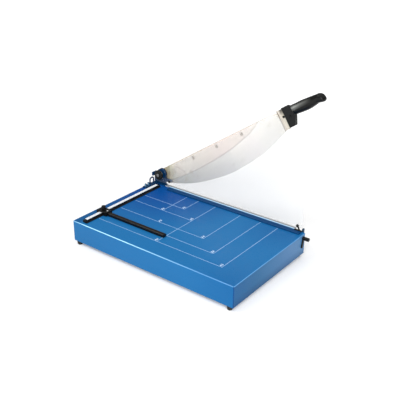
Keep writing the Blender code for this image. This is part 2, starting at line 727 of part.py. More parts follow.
def make_base():
    """The folded tray: an open box with rounded bends, a turned-in rim and its holes."""
    mesh = bpy.data.meshes.new("base_shell")
    work = bmesh.new()
    bmesh.ops.create_cube(work, size=1.0)
    size = Vector((BED_WIDTH, BED_LENGTH, BASE_HEIGHT))
    bmesh.ops.scale(work, vec=size, verts=work.verts)
    floor = [face for face in work.faces if face.normal.z < -0.5]
    bmesh.ops.delete(work, geom=floor, context="FACES_ONLY")
    bends = [edge for edge in work.edges if not edge.is_boundary]
    bmesh.ops.bevel(work, geom=bends, offset=BEND_RADIUS, segments=3, profile=0.5,
                    affect="EDGES", clamp_overlap=True)
    border = [edge for edge in work.edges if edge.is_boundary]
    grown = bmesh.ops.extrude_edge_only(work, edges=border)["geom"]
    for item in grown:
        if isinstance(item, bmesh.types.BMVert):
            item.co.x -= math.copysign(RIM_WIDTH, item.co.x)
            item.co.y -= math.copysign(RIM_WIDTH, item.co.y)
    bmesh.ops.recalc_face_normals(work, faces=work.faces)
    if sum(face.normal.z * face.calc_area() for face in work.faces
           if face.calc_center_median().z > 0) < 0:
        bmesh.ops.reverse_faces(work, faces=work.faces)
    work.to_mesh(mesh)
    work.free()
    shade(mesh, 20)
    shell = bpy.data.objects.new("base_shell", mesh)
    middle = ((BED_LEFT + BED_RIGHT) / 2, (BED_FRONT + BED_REAR) / 2, BASE_FLOOR / 2)
    settle(shell, FRAME, middle)
    wall = shell.modifiers.new("sheet", "SOLIDIFY")
    wall.thickness = SHEET
    wall.offset = -1
    wall.use_even_offset = True
    deep = 4 * SHEET
    for pin_y in PIN_YS:
        drill(shell, "Z", (PIN_X, pin_y, 0), PIN_RADIUS + GAP, deep)
    drill(shell, "Z", (CAM_X, FOLLOWER_Y, 0), FOLLOWER_RADIUS + SLIDE_GAP, deep)
    drill(shell, "Y", (CAM_X, BED_FRONT, CAM_Z), CAM_SHAFT_RADIUS + GAP, deep)
    for screw_y in SIDE_SCREW_YS:
        drill(shell, "X", (BED_RIGHT, screw_y, SIDE_SCREW_Z), SIDE_SCREW_RADIUS + GAP, deep)
    for screw_x in RAIL_SCREW_XS:
        drill(shell, "Z", (screw_x, RAIL_FRONT_Y + RAIL_DEPTH / 2, 0),
              RAIL_SCREW_RADIUS + GAP, deep)
    for bolt_x in BOLT_XS:
        drill(shell, "Z", (bolt_x, BED_REAR - BOLT_FROM_REAR, 0), BOLT_RADIUS + GAP, deep)
    for leg_x in (HOOP_LEFT, HOOP_LEFT + HOOP_WIDTH):
        drill(shell, "Z", (leg_x, BED_REAR - HOOP_FROM_REAR, 0), HOOP_WIRE + GAP, deep,
              sides=SMALL)
    for foot_x, foot_y in foot_spots():
        drill(shell, "Z", (foot_x, foot_y, BASE_FLOOR), FOOT_STEM_RADIUS + GAP, deep)
    dress(shell, "blue_paint")


def foot_spots():
    """Middle of each foot, as X and Y."""
    return [(foot_x, foot_y)
            for foot_x in (BED_LEFT + FOOT_INSET_X, BED_RIGHT - FOOT_INSET_X)
            for foot_y in (BED_FRONT + FOOT_INSET_Y, BED_REAR - FOOT_INSET_Y)]


def make_ribs():
    """Two channels of folded sheet that stiffen the bed from below."""
    for name, middle in (("rib_front", RIB_FRONT_Y), ("rib_rear", RIB_REAR_Y)):
        front, rear = middle - RIB_WIDTH / 2, middle + RIB_WIDTH / 2
        top = BED_UNDERSIDE - GAP
        low = top - RIB_DEPTH
        outline = [(front, low), (rear, low), (rear, low + RIB_SHEET),
                   (front + RIB_SHEET, low + RIB_SHEET), (front + RIB_SHEET, top - RIB_SHEET),
                   (rear, top - RIB_SHEET), (rear, top), (front, top)]
        inset = SHEET + RIB_END_GAP
        dress(sheet(name, "YZ", [outline], BED_LEFT + inset, BED_RIGHT - inset), "blue_paint")


def make_feet():
    """Rubber feet, each held by a barbed stem through the rim."""
    for number, (foot_x, foot_y) in enumerate(foot_spots(), 1):
        rim_top = SHEET + GAP
        profile = [(0, rim_top + FOOT_BARB_HEIGHT),
                   (FOOT_STEM_RADIUS, rim_top + FOOT_BARB_HEIGHT),
                   (FOOT_BARB_RADIUS, rim_top + FOOT_BARB_HEIGHT / 2),
                   (FOOT_BARB_RADIUS, rim_top), (FOOT_STEM_RADIUS, rim_top),
                   (FOOT_STEM_RADIUS, -GAP), (FOOT_RADIUS, -GAP),
                   (FOOT_RADIUS, -FOOT_HEIGHT / 2), (FOOT_RADIUS - FOOT_TAPER, -FOOT_HEIGHT),
                   (0, -FOOT_HEIGHT)]
        dress(turned(f"foot_{number}", "Z", (foot_x, foot_y, BASE_FLOOR), profile), "rubber")


def make_counter_blade():
    """The ground steel bar whose top right edge is the lower half of the shear."""
    bar = block("counter_blade", (COUNTER_LEFT, COUNTER_FRONT_Y, -COUNTER_DEPTH), (0, 0, 0))
    soften(bar, COUNTER_CHAMFER / 2, 1)
    depth = SIDE_SCREW_REACH
    for screw_y in SIDE_SCREW_YS[1:]:
        drill(bar, "X", (COUNTER_LEFT + depth / 2 - OVERRUN / 2, screw_y, SIDE_SCREW_Z),
              SIDE_SCREW_RADIUS + GAP, depth + OVERRUN)
    dress(bar, "ground_steel")
    seat = BED_RIGHT - SHEET - GAP
    reach = COUNTER_LEFT - seat + depth - GAP
    for number, screw_y in enumerate(SIDE_SCREW_YS, 1):
        screw = cap_screw(f"side_screw_{number}", "X", (seat, screw_y, SIDE_SCREW_Z),
                          SIDE_SCREW_RADIUS, reach, SIDE_HEAD_RADIUS, SIDE_HEAD_HEIGHT,
                          FRAME, -1)
        dress(screw, "zinc_steel")


def rail_outline(groove=True):
    """Section of the fence rail: a bar with a front lip and a keyway in its back."""
    front, rear = RAIL_FRONT_Y, RAIL_FRONT_Y + RAIL_DEPTH
    points = [(front - RAIL_LIP, GAP), (rear, GAP)]
    if groove:
        points += [(rear, GROOVE_LOW), (rear - GROOVE_DEPTH, GROOVE_LOW),
                   (rear - GROOVE_DEPTH, GROOVE_LOW + GROOVE_HEIGHT),
                   (rear, GROOVE_LOW + GROOVE_HEIGHT)]
    points += [(rear, RAIL_HEIGHT), (front, RAIL_HEIGHT), (front, GAP + RAIL_LIP_HEIGHT),
               (front - RAIL_LIP, GAP + RAIL_LIP_HEIGHT)]
    return points


def make_fence():
    """The fence rail with its end caps, scale strip and the screws from below."""
    inset = RAIL_CAP + GAP
    rail = sheet("fence_rail", "YZ", [rail_outline()], RAIL_LEFT + inset, RAIL_RIGHT - inset)
    middle_y = RAIL_FRONT_Y + RAIL_DEPTH / 2
    for number, screw_x in enumerate(RAIL_SCREW_XS, 1):
        drill(rail, "Z", (screw_x, middle_y, RAIL_SCREW_REACH / 2),
              RAIL_SCREW_RADIUS + GAP, RAIL_SCREW_REACH + GAP)
        screw = dome_screw(f"rail_screw_{number}", "Z",
                           (screw_x, middle_y, BED_UNDERSIDE - GAP), RAIL_SCREW_RADIUS,
                           RAIL_SCREW_REACH - BED_UNDERSIDE, RAIL_HEAD_RADIUS,
                           RAIL_HEAD_HEIGHT, FRAME, -1)
        dress(screw, "zinc_steel")
    dress(rail, "black_anodised")
    for name, left in (("rail_cap_left", RAIL_LEFT), ("rail_cap_right", RAIL_RIGHT - RAIL_CAP)):
        dress(sheet(name, "YZ", [rail_outline(False)], left, left + RAIL_CAP), "black_plastic")
    strip = block("scale_strip",
                  (RAIL_LEFT + STRIP_LEFT_END, RAIL_FRONT_Y + STRIP_EDGE, RAIL_HEIGHT + GAP),
                  (RAIL_RIGHT - STRIP_RIGHT_END, RAIL_FRONT_Y + RAIL_DEPTH - STRIP_EDGE,
                   STRIP_TOP))
    dress(strip, "white_print")


def make_back_stop():
    """The carriage that hooks over the rail, its bar, end cap, screw and lock knob."""
    rear = RAIL_FRONT_Y + RAIL_DEPTH
    lip_top = GAP + RAIL_LIP_HEIGHT
    outline = [(CARRIAGE_FRONT_Y, SLIDE_GAP), (RAIL_FRONT_Y - RAIL_LIP - GAP, SLIDE_GAP),
               (RAIL_FRONT_Y - RAIL_LIP - GAP, lip_top + GAP),
               (RAIL_FRONT_Y - GAP, lip_top + GAP), (RAIL_FRONT_Y - GAP, CARRIAGE_CEILING),
               (rear + GAP, CARRIAGE_CEILING),
               (rear + GAP, GROOVE_LOW + GROOVE_HEIGHT - GAP),
               (rear - GROOVE_DEPTH + GAP, GROOVE_LOW + GROOVE_HEIGHT - GAP),
               (rear - GROOVE_DEPTH + GAP, GROOVE_LOW + GAP), (rear + GAP, GROOVE_LOW + GAP),
               (rear + GAP, SLIDE_GAP), (CARRIAGE_REAR_Y, SLIDE_GAP),
               (CARRIAGE_REAR_Y, CARRIAGE_TOP), (CARRIAGE_FRONT_Y, CARRIAGE_TOP)]
    left = STOP_X - CARRIAGE_WIDTH / 2
    carriage = sheet("stop_carriage", "YZ", [outline], left, left + CARRIAGE_WIDTH, STOP_GUIDE)
    soften(carriage, CARRIAGE_EDGE, 1)
    bar_rear = RAIL_FRONT_Y - RAIL_LIP - SLIDE_GAP
    bar_top = SLIDE_GAP + BAR_HEIGHT
    half = BAR_WIDTH / 2
    slot = block("stop_carriage_slot", (STOP_X - half - GAP, CARRIAGE_FRONT_Y - OVERRUN, -OVERRUN),
                 (STOP_X + half + GAP, bar_rear + GAP, bar_top + GAP), STOP_GUIDE, True)
    cut(carriage, slot)
    drill(carriage, "Z", (STOP_X, BAR_SCREW_Y, CARRIAGE_TOP), BAR_SCREW_RADIUS + GAP,
          2 * CARRIAGE_TOP, STOP_GUIDE, SMALL)
    drill(carriage, "Z", (STOP_X, KNOB_Y, CARRIAGE_TOP), KNOB_SHANK_RADIUS + GAP,
          2 * CARRIAGE_ROOF + OVERRUN, STOP_GUIDE)
    dress(carriage, "black_plastic")
    groove = BAR_GROOVE_WIDTH / 2
    section = [(STOP_X - half, SLIDE_GAP), (STOP_X + half, SLIDE_GAP),
               (STOP_X + half, bar_top - BAR_EDGE), (STOP_X + half - BAR_EDGE, bar_top),
               (STOP_X + groove, bar_top), (STOP_X + groove, bar_top - BAR_GROOVE_DEPTH),
               (STOP_X - groove, bar_top - BAR_GROOVE_DEPTH), (STOP_X - groove, bar_top),
               (STOP_X - half + BAR_EDGE, bar_top), (STOP_X - half, bar_top - BAR_EDGE)]
    bar = sheet("stop_bar", "XZ", [section], BAR_END_Y, bar_rear, STOP_GUIDE)
    drill(bar, "Z", (STOP_X, BAR_SCREW_Y, bar_top), BAR_SCREW_RADIUS + GAP,
          2 * (BAR_SCREW_REACH + GAP), STOP_GUIDE, SMALL)
    dress(bar, "black_anodised")
    plain = [(STOP_X - half, SLIDE_GAP), (STOP_X + half, SLIDE_GAP),
             (STOP_X + half, bar_top - BAR_EDGE), (STOP_X + half - BAR_EDGE, bar_top),
             (STOP_X - half + BAR_EDGE, bar_top), (STOP_X - half, bar_top - BAR_EDGE)]
    cap = sheet("bar_cap", "XZ", [plain], BAR_END_Y - GAP - BAR_CAP, BAR_END_Y - GAP, STOP_GUIDE)
    dress(cap, "black_plastic")
    screw = dome_screw("bar_screw", "Z", (STOP_X, BAR_SCREW_Y, CARRIAGE_TOP + GAP),
                       BAR_SCREW_RADIUS, CARRIAGE_TOP + GAP - bar_top + BAR_SCREW_REACH,
                       BAR_HEAD_RADIUS, BAR_HEAD_HEIGHT, STOP_GUIDE)
    dress(screw, "black_plastic")
    shank = KNOB_BASE - STRIP_TOP - GAP
    profile = [(0, KNOB_HEIGHT), (KNOB_RADIUS - KNOB_EDGE, KNOB_HEIGHT),
               (KNOB_RADIUS, KNOB_HEIGHT - KNOB_EDGE), (KNOB_RADIUS, KNOB_NECK_HEIGHT),
               (KNOB_NECK_RADIUS, KNOB_NECK_HEIGHT), (KNOB_NECK_RADIUS, 0),
               (KNOB_SHANK_RADIUS, 0), (KNOB_SHANK_RADIUS, -shank), (0, -shank)]
    knob = turned("lock_knob", "Z", (STOP_X, KNOB_Y, KNOB_BASE), profile, KNOB_AXIS)
    flutes = twin_rods("lock_knob_flutes", "Z", (STOP_X, KNOB_Y, KNOB_BASE + KNOB_HEIGHT),
                       KNOB_RADIUS + KNOB_FLUTE_RADIUS / 2, KNOB_FLUTE_RADIUS,
                       2 * (KNOB_HEIGHT - KNOB_NECK_HEIGHT) - OVERRUN, KNOB_FLUTES, KNOB_AXIS)
    cut(knob, flutes)
    dress(knob, "black_plastic")


def make_clamp():
    """The paper clamp: strip, guide pins, springs, retainers, end block, stalk and ball."""
    top = CLAMP_REST + CLAMP_THICKNESS
    ridge = CLAMP_RIGHT - RIDGE_WIDTH
    section = [(CLAMP_LEFT, CLAMP_REST), (CLAMP_RIGHT, CLAMP_REST),
               (CLAMP_RIGHT, top + RIDGE_RISE / 2), (CLAMP_RIGHT - RIDGE_SLOPE, top + RIDGE_RISE),
               (ridge + RIDGE_SLOPE, top + RIDGE_RISE), (ridge, top),
               (CLAMP_LEFT + CLAMP_CHAMFER, top), (CLAMP_LEFT, top - CLAMP_CHAMFER)]
    strip = sheet("clamp_bar", "XZ", [section], CLAMP_FRONT_Y, CLAMP_REAR_Y, CLAMP_GUIDE)
    socket = PIN_SOCKET_DEPTH
    for pin_y in PIN_YS:
        drill(strip, "Z", (PIN_X, pin_y, CLAMP_REST + socket / 2 - OVERRUN / 2),
              PIN_RADIUS + GAP, socket + OVERRUN, CLAMP_GUIDE)
    block_rear = CLAMP_FRONT_Y + END_BLOCK_LENGTH
    block_left = CLAMP_RIGHT - END_BLOCK_WIDTH
    notch_floor = top - END_NOTCH_DEPTH
    block_top = CLAMP_REST + END_BLOCK_HEIGHT
    notch = block("clamp_bar_notch", (block_left - GAP, CLAMP_FRONT_Y - OVERRUN, notch_floor),
                  (CLAMP_RIGHT + OVERRUN, block_rear + GAP, top + RIDGE_RISE + OVERRUN),
                  CLAMP_GUIDE, True)
    cut(strip, notch)
    root = CLAMP_REST + CLAMP_THICKNESS / 2
    post = rod("clamp_bar_follower", "Z", (CAM_X, FOLLOWER_Y, (root + FOLLOWER_Z) / 2),
               FOLLOWER_RADIUS, root - FOLLOWER_Z, CLAMP_GUIDE, True, SMALL)
    cut(strip, post, "UNION")
    dress(strip, "clamp_blue")
    pin_top = CLAMP_REST + socket - GAP
    retainer_low = PIN_END_Z + PIN_HEAD_HEIGHT + GAP
    spring_low = retainer_low + RETAINER_THICKNESS + GAP
    spring_length = BED_UNDERSIDE - GAP - spring_low
    curl_points = coil_points(CLAMP_SPRING_RADIUS, CLAMP_SPRING_WIRE, spring_length,
                              CLAMP_SPRING_CURLS)
    print("clamp spring least gap, mm:",
          round(least_gap(curl_points, CLAMP_SPRING_WIRE) / MM, 2))
    for name, pin_y in zip(("rear", "front"), PIN_YS):
        profile = [(0, pin_top - PIN_END_Z), (PIN_RADIUS, pin_top - PIN_END_Z),
                   (PIN_RADIUS, PIN_HEAD_HEIGHT), (PIN_HEAD_RADIUS, PIN_HEAD_HEIGHT),
                   (PIN_HEAD_RADIUS, 0), (0, 0)]
        pin = turned(f"guide_pin_{name}", "Z", (PIN_X, pin_y, PIN_END_Z), profile, CLAMP_GUIDE)
        dress(pin, "zinc_steel")
        bore = PIN_RADIUS + GAP
        ring = [(bore, RETAINER_THICKNESS), (RETAINER_RADIUS, RETAINER_THICKNESS),
                (RETAINER_RADIUS, 0), (bore, 0)]
        washer = turned(f"retainer_{name}", "Z", (PIN_X, pin_y, retainer_low), ring,
                        CLAMP_GUIDE, True)
        dress(washer, "zinc_steel")
        spring = tube(f"clamp_spring_{name}", curl_points, CLAMP_SPRING_WIRE / 2, FRAME,
                      (PIN_X, pin_y, spring_low))
        dress(spring, "spring_steel")
    end = block("clamp_end_block", (block_left, CLAMP_FRONT_Y, notch_floor + GAP),
                (CLAMP_RIGHT, block_rear, block_top), CLAMP_GUIDE)
    soften(end, END_BLOCK_EDGE, 2)
    foot_y = CLAMP_FRONT_Y + STALK_FOOT
    sink = (block_top - notch_floor) / 2
    drill(end, "Z", (STALK_X, foot_y, block_top), STALK_RADIUS + GAP, 2 * sink, CLAMP_GUIDE,
          SMALL)
    dress(end, "black_plastic")
    lean = Vector((0, STALK_RUN, STALK_RISE))
    start = Vector((0, 0, STALK_RADIUS))
    along = [(0, 0, GAP - sink), (0, 0, 0), tuple(start), tuple(start + lean)]
    stalk = tube("lift_stalk", along, STALK_RADIUS, CLAMP_GUIDE,
                 from_frame(CLAMP_GUIDE, (STALK_X, foot_y, block_top)), rings=2)
    dress(stalk, "black_plastic")
    mesh = bpy.data.meshes.new("lift_ball")
    work = bmesh.new()
    bmesh.ops.create_uvsphere(work, u_segments=ROUND, v_segments=SMALL,
                              radius=STALK_BALL_RADIUS)
    work.to_mesh(mesh)
    work.free()
    shade(mesh)
    ball = bpy.data.objects.new("lift_ball", mesh)
    tip = Vector((STALK_X, foot_y, block_top)) + start + lean
    slope = lean.to_track_quat("Z", "Y").to_euler()
    ball.rotation_euler = slope
    settle(ball, CLAMP_GUIDE, from_frame(CLAMP_GUIDE, tip))
    bore = rod("lift_ball_bore", "Z", tip - lean.normalized() * STALK_BALL_RADIUS,
               STALK_RADIUS + GAP, 2 * (STALK_BALL_RADIUS + GAP), CLAMP_GUIDE, True, SMALL)
    bore.rotation_euler = slope
    cut(ball, bore)
    dress(ball, "black_plastic")


def cam_radius(angle):
    """Radius of the cam at an angle from the top, positive towards the right.

    Turning towards the left the radius grows evenly over the cam's turn, holds over the
    crest, and falls back on a half cosine over as long a turn again.
    """
    back = (-angle) % (2 * math.pi)
    if back <= CAM_TURN:
        share = back / CAM_TURN
    elif back <= CAM_TURN + CAM_CREST:
        share = 1
    elif back <= 2 * CAM_TURN + CAM_CREST:
        share = 0.5 + 0.5 * math.cos(math.pi * (back - CAM_TURN - CAM_CREST) / CAM_TURN)
    else:
        share = 0
    return CAM_BASE_RADIUS + CAM_LIFT * share


def make_cam_lever():
    """The lever at the front with its shaft, bush, cam and finger stub."""
    centre = (CAM_X, CAM_Z)
    outline = []
    steps = 3 * ROUND
    for step in range(steps):
        angle = 2 * math.pi * step / steps
        reach = cam_radius(angle)
        outline.append((centre[0] + reach * math.sin(angle), centre[1] + reach * math.cos(angle)))
    bore = arc(centre, CAM_SHAFT_RADIUS + GAP, 0, 360, ROUND)[:-1]
    cam_rear = FOLLOWER_Y + CAM_WIDTH / 2
    cam = sheet("lift_cam", "XZ", [outline, bore], FOLLOWER_Y - CAM_WIDTH / 2, cam_rear, CAM_AXIS)
    dress(cam, "zinc_steel")
    shaft_rear = cam_rear + OVERRUN
    shaft_front = STUB_FRONT + STUB_LENGTH / 2
    shaft = rod("cam_shaft", "Y", (CAM_X, (shaft_rear + shaft_front) / 2, CAM_Z),
                CAM_SHAFT_RADIUS, shaft_rear - shaft_front, CAM_AXIS)
    dress(shaft, "zinc_steel")
    inside = BED_FRONT + SHEET + GAP
    ring = [(CAM_SHAFT_RADIUS + GAP, 0), (BUSH_RADIUS, 0), (BUSH_RADIUS, -BUSH_LENGTH),
            (CAM_SHAFT_RADIUS + GAP, -BUSH_LENGTH)]
    bush = turned("lever_bush", "Y", (CAM_X, inside, CAM_Z), ring, FRAME, True)
    dress(bush, "black_plastic")
    half = LEVER_WIDTH / 2
    boss = LEVER_BOSS_RADIUS
    lift = math.degrees(math.asin(half / boss))
    sides = arc(centre, boss, lift - 90, 270 - lift, ROUND)
    end = arc((CAM_X, CAM_Z - LEVER_REACH + half), half, 180, 360, SMALL // 2)
    lean = Matrix.Rotation(-LEVER_LEAN, 2)
    edge = [tuple(Vector(centre) + lean @ (Vector(spot) - Vector(centre)))
            for spot in sides + end]
    arm = sheet("cam_lever", "XZ", [edge, bore], LEVER_FRONT, LEVER_BACK, CAM_AXIS)
    dress(arm, "black_plastic")
    bore_radius = CAM_SHAFT_RADIUS + GAP
    bore_depth = STUB_LENGTH / 2 + GAP
    profile = [(0, STUB_LENGTH), (STUB_RADIUS - STUB_EDGE, STUB_LENGTH),
               (STUB_RADIUS, STUB_LENGTH - STUB_EDGE), (STUB_RADIUS, 0), (bore_radius, 0),
               (bore_radius, bore_depth), (0, bore_depth)]
    stub = turned("lever_stub", "Y", (CAM_X, LEVER_FRONT - GAP, CAM_Z), profile, CAM_AXIS)
    dress(stub, "black_plastic")


def make_pivot():
    """The bracket on the rear corner, its bolts, the pivot bolt, washers, spring and hub."""
    centre = (PIVOT_Y, PIVOT_Z)
    heel = PIVOT_Y + EAR_RADIUS
    nose = PIVOT_Y - EAR_RADIUS
    lug_y = GUARD_SCREW_YS[0]
    outline = [(BRACKET_REAR, BRACKET_STEP), (heel + EAR_HEEL / 2, BRACKET_STEP + WEB_HEIGHT / 3)]
    outline += arc(centre, EAR_RADIUS, 0, 180, SMALL)
    outline += [(nose, GUARD_SCREW_Z + LUG_RADIUS)]
    outline += arc((lug_y, GUARD_SCREW_Z), LUG_RADIUS, 90, 270, SMALL // 2)
    outline += [(nose, GUARD_SCREW_Z - LUG_RADIUS), (nose, BRACKET_STEP)]
    ear = sheet("pivot_bracket", "YZ", [outline], EAR_LEFT, EAR_RIGHT)
    lower = block("pivot_bracket_lower", (COUNTER_LEFT, GAP, -BRACKET_DROP),
                  (EAR_RIGHT, BRACKET_REAR, BRACKET_STEP + OVERRUN), FRAME, True)
    cut(ear, lower, "UNION")
    foot = block("pivot_bracket_foot", (FOOT_PLATE_LEFT, BRACKET_REAR - FOOT_PLATE_DEPTH, GAP),
                 (EAR_RIGHT - OVERRUN, BRACKET_REAR - OVERRUN / 2, GAP + FOOT_PLATE_THICKNESS),
                 FRAME, True)
    cut(ear, foot, "UNION")
    web_right = EAR_RIGHT - 2 * OVERRUN
    web_outline = [(web_right, 2 * GAP), (web_right, WEB_HEIGHT), (WEB_LEFT, WEB_HEIGHT),
                   (WEB_LEFT, WEB_ARM_LOW), (WEB_STEM_LEFT, WEB_ARM_LOW), (WEB_STEM_LEFT, 2 * GAP)]
    web = sheet("pivot_bracket_web", "XZ", [web_outline], BRACKET_REAR - WEB_THICKNESS,
                BRACKET_REAR - OVERRUN / 4, FRAME, False, True)
    cut(ear, web, "UNION")
    drill(ear, "X", (EAR_LEFT, PIVOT_Y, PIVOT_Z), PIVOT_RADIUS + GAP, 4 * EAR_THICKNESS)
    depth = SIDE_SCREW_REACH
    drill(ear, "X", (COUNTER_LEFT + depth / 2 - OVERRUN / 2, SIDE_SCREW_YS[0], SIDE_SCREW_Z),
          SIDE_SCREW_RADIUS + GAP, depth + OVERRUN)
    for screw_y in GUARD_SCREW_YS:
        drill(ear, "X", (EAR_LEFT, screw_y, GUARD_SCREW_Z), GUARD_SCREW_RADIUS + GAP,
              EAR_THICKNESS, sides=SMALL)
    for bolt_x in BOLT_XS:
        drill(ear, "Z", (bolt_x, BED_REAR - BOLT_FROM_REAR, 0), BOLT_RADIUS + GAP,
              4 * FOOT_PLATE_THICKNESS)
    for leg_x in (HOOP_LEFT, HOOP_LEFT + HOOP_WIDTH):
        drill(ear, "Z", (leg_x, BED_REAR - HOOP_FROM_REAR, 0), HOOP_WIRE + GAP,
              4 * FOOT_PLATE_THICKNESS, sides=SMALL)
    dress(ear, "blue_paint")
    seat = GAP + FOOT_PLATE_THICKNESS + GAP
    for number, bolt_x in enumerate(BOLT_XS, 1):
        profile = [(0, HEX_FLANGE_HEIGHT + OVERRUN / 2),
                   (BOLT_RADIUS, HEX_FLANGE_HEIGHT + OVERRUN / 2),
                   (BOLT_RADIUS, HEX_FLANGE_HEIGHT), (HEX_FLANGE_RADIUS, HEX_FLANGE_HEIGHT),
                   (HEX_FLANGE_RADIUS, 0), (BOLT_RADIUS, 0), (BOLT_RADIUS, -BOLT_REACH),
                   (0, -BOLT_REACH)]
        place = Vector((bolt_x, BED_REAR - BOLT_FROM_REAR, seat))
        bolt = turned(f"bracket_bolt_{number}", "Z", place, profile)
        rise = Vector((0, 0, HEX_FLANGE_HEIGHT + HEX_HEIGHT / 2 - OVERRUN / 4))
        head = rod(f"bracket_bolt_{number}_head", "Z", place + rise, HEX_RADIUS,
                   HEX_HEIGHT + OVERRUN / 2, FRAME, True, 6)
        cut(bolt, head, "UNION")
        dress(bolt, "spring_steel")
    shank_left = HUB_LEFT - BOLT_END
    shank_right = PIVOT_HEAD_LEFT + OVERRUN
    bolt = rod("pivot_bolt", "X", ((shank_left + shank_right) / 2, PIVOT_Y, PIVOT_Z),
               PIVOT_RADIUS, shank_right - shank_left)
    flange = rod("pivot_bolt_flange", "X",
                 ((PIVOT_FLANGE_LEFT + PIVOT_HEAD_LEFT) / 2, PIVOT_Y, PIVOT_Z),
                 PIVOT_FLANGE_RADIUS, PIVOT_FLANGE_THICKNESS, FRAME, True)
    cut(bolt, flange, "UNION")
    head_left = PIVOT_HEAD_LEFT - OVERRUN / 2
    head = rod("pivot_bolt_head", "X", ((head_left + PIVOT_HEAD_RIGHT) / 2, PIVOT_Y, PIVOT_Z),
               PIVOT_HEX_RADIUS, PIVOT_HEAD_RIGHT - head_left, FRAME, True, 6)
    cut(bolt, head, "UNION")
    dress(bolt, "zinc_steel")
    bore = PIVOT_RADIUS + GAP
    inner = [(bore, WASHER_THICKNESS), (WASHER_RADIUS, WASHER_THICKNESS), (WASHER_RADIUS, 0),
             (bore, 0)]
    dress(turned("thrust_washer", "X", (EAR_RIGHT + GAP, PIVOT_Y, PIVOT_Z), inner, FRAME, True,
                 FINE), "black_plastic")
    length = PRESSURE_SPRING_LENGTH - 2 * GAP
    curls = coil_points(PRESSURE_SPRING_RADIUS, PRESSURE_SPRING_WIRE, length,
                        PRESSURE_SPRING_CURLS)
    print("pressure spring least gap, mm:",
          round(least_gap(curls, PRESSURE_SPRING_WIRE) / MM, 2))
    spring = tube("pressure_spring", curls, PRESSURE_SPRING_WIRE / 2, FRAME,
                  (HUB_RIGHT + GAP, PIVOT_Y, PIVOT_Z))
    spring.rotation_euler = AXIS_TURNS["X"]
    dress(spring, "spring_steel")
    profile = [(bore, HUB_LENGTH), (HUB_RADIUS - HUB_EDGE, HUB_LENGTH),
               (HUB_RADIUS, HUB_LENGTH - HUB_EDGE), (HUB_RADIUS, HUB_EDGE),
               (HUB_RADIUS - HUB_EDGE, 0), (bore, 0)]
    hub = turned("pivot_hub", "X", (HUB_LEFT, PIVOT_Y, PIVOT_Z), profile, FRAME, True, FINE)
    scallops = twin_rods("pivot_hub_scallops", "X", (HUB_LEFT, PIVOT_Y, PIVOT_Z),
                         HUB_RADIUS + HUB_SCALLOP_RADIUS - HUB_SCALLOP_BITE,
                         HUB_SCALLOP_RADIUS, 4 * HUB_LENGTH, HUB_SCALLOPS)
    cut(hub, scallops)
    dress(hub, "black_plastic")


def make_hoop():
    """A bent wire hoop that stands on the rear edge beside the bracket."""
    corner = HOOP_CORNER
    top = HOOP_HEIGHT
    left = [(across, up) for across, up in arc((corner, top - corner), corner, 180, 90, 4)]
    right = [(across, up) for across, up in
             arc((HOOP_WIDTH - corner, top - corner), corner, 90, 0, 4)]
    flat = [(0, -HOOP_BELOW)] + left + right + [(HOOP_WIDTH, -HOOP_BELOW)]
    points = [(across, 0, up) for across, up in flat]
    hoop = tube("rear_hoop", points, HOOP_WIRE, FRAME,
                (HOOP_LEFT, BED_REAR - HOOP_FROM_REAR, 0), rings=2)
    dress(hoop, "spring_steel")


def blade_spot(reach, drop):
    """A place on the blade: reach from the pivot along it, drop down from its spine."""
    return (-reach, PIVOT_TO_SPINE - drop)


def edge_line():
    """The curved cutting edge, from heel to tip, as reach and drop."""
    knots = [(BLADE_REACH * along, BLADE_DEPTH * drop)
             for along, drop in zip(EDGE_ALONG_SHARES, EDGE_DROP_SHARES)]
    return smooth_line(knots, 5)


def blade_outline(raise_edge):
    """Outline of one face of the blade; the edge may sit higher by the bevel's width."""
    edge = [blade_spot(reach, drop - raise_edge) for reach, drop in edge_line()]
    tang = [blade_spot(TANG_REACH, TANG_LOW_DROP), blade_spot(TANG_REACH, TANG_TOP_DROP),
            blade_spot(BLADE_REACH, TANG_TOP_DROP), blade_spot(SPINE_END, 0)]
    boss = arc((0, 0), BLADE_BOSS_RADIUS, 90, -80, SMALL)
    return edge + tang + boss


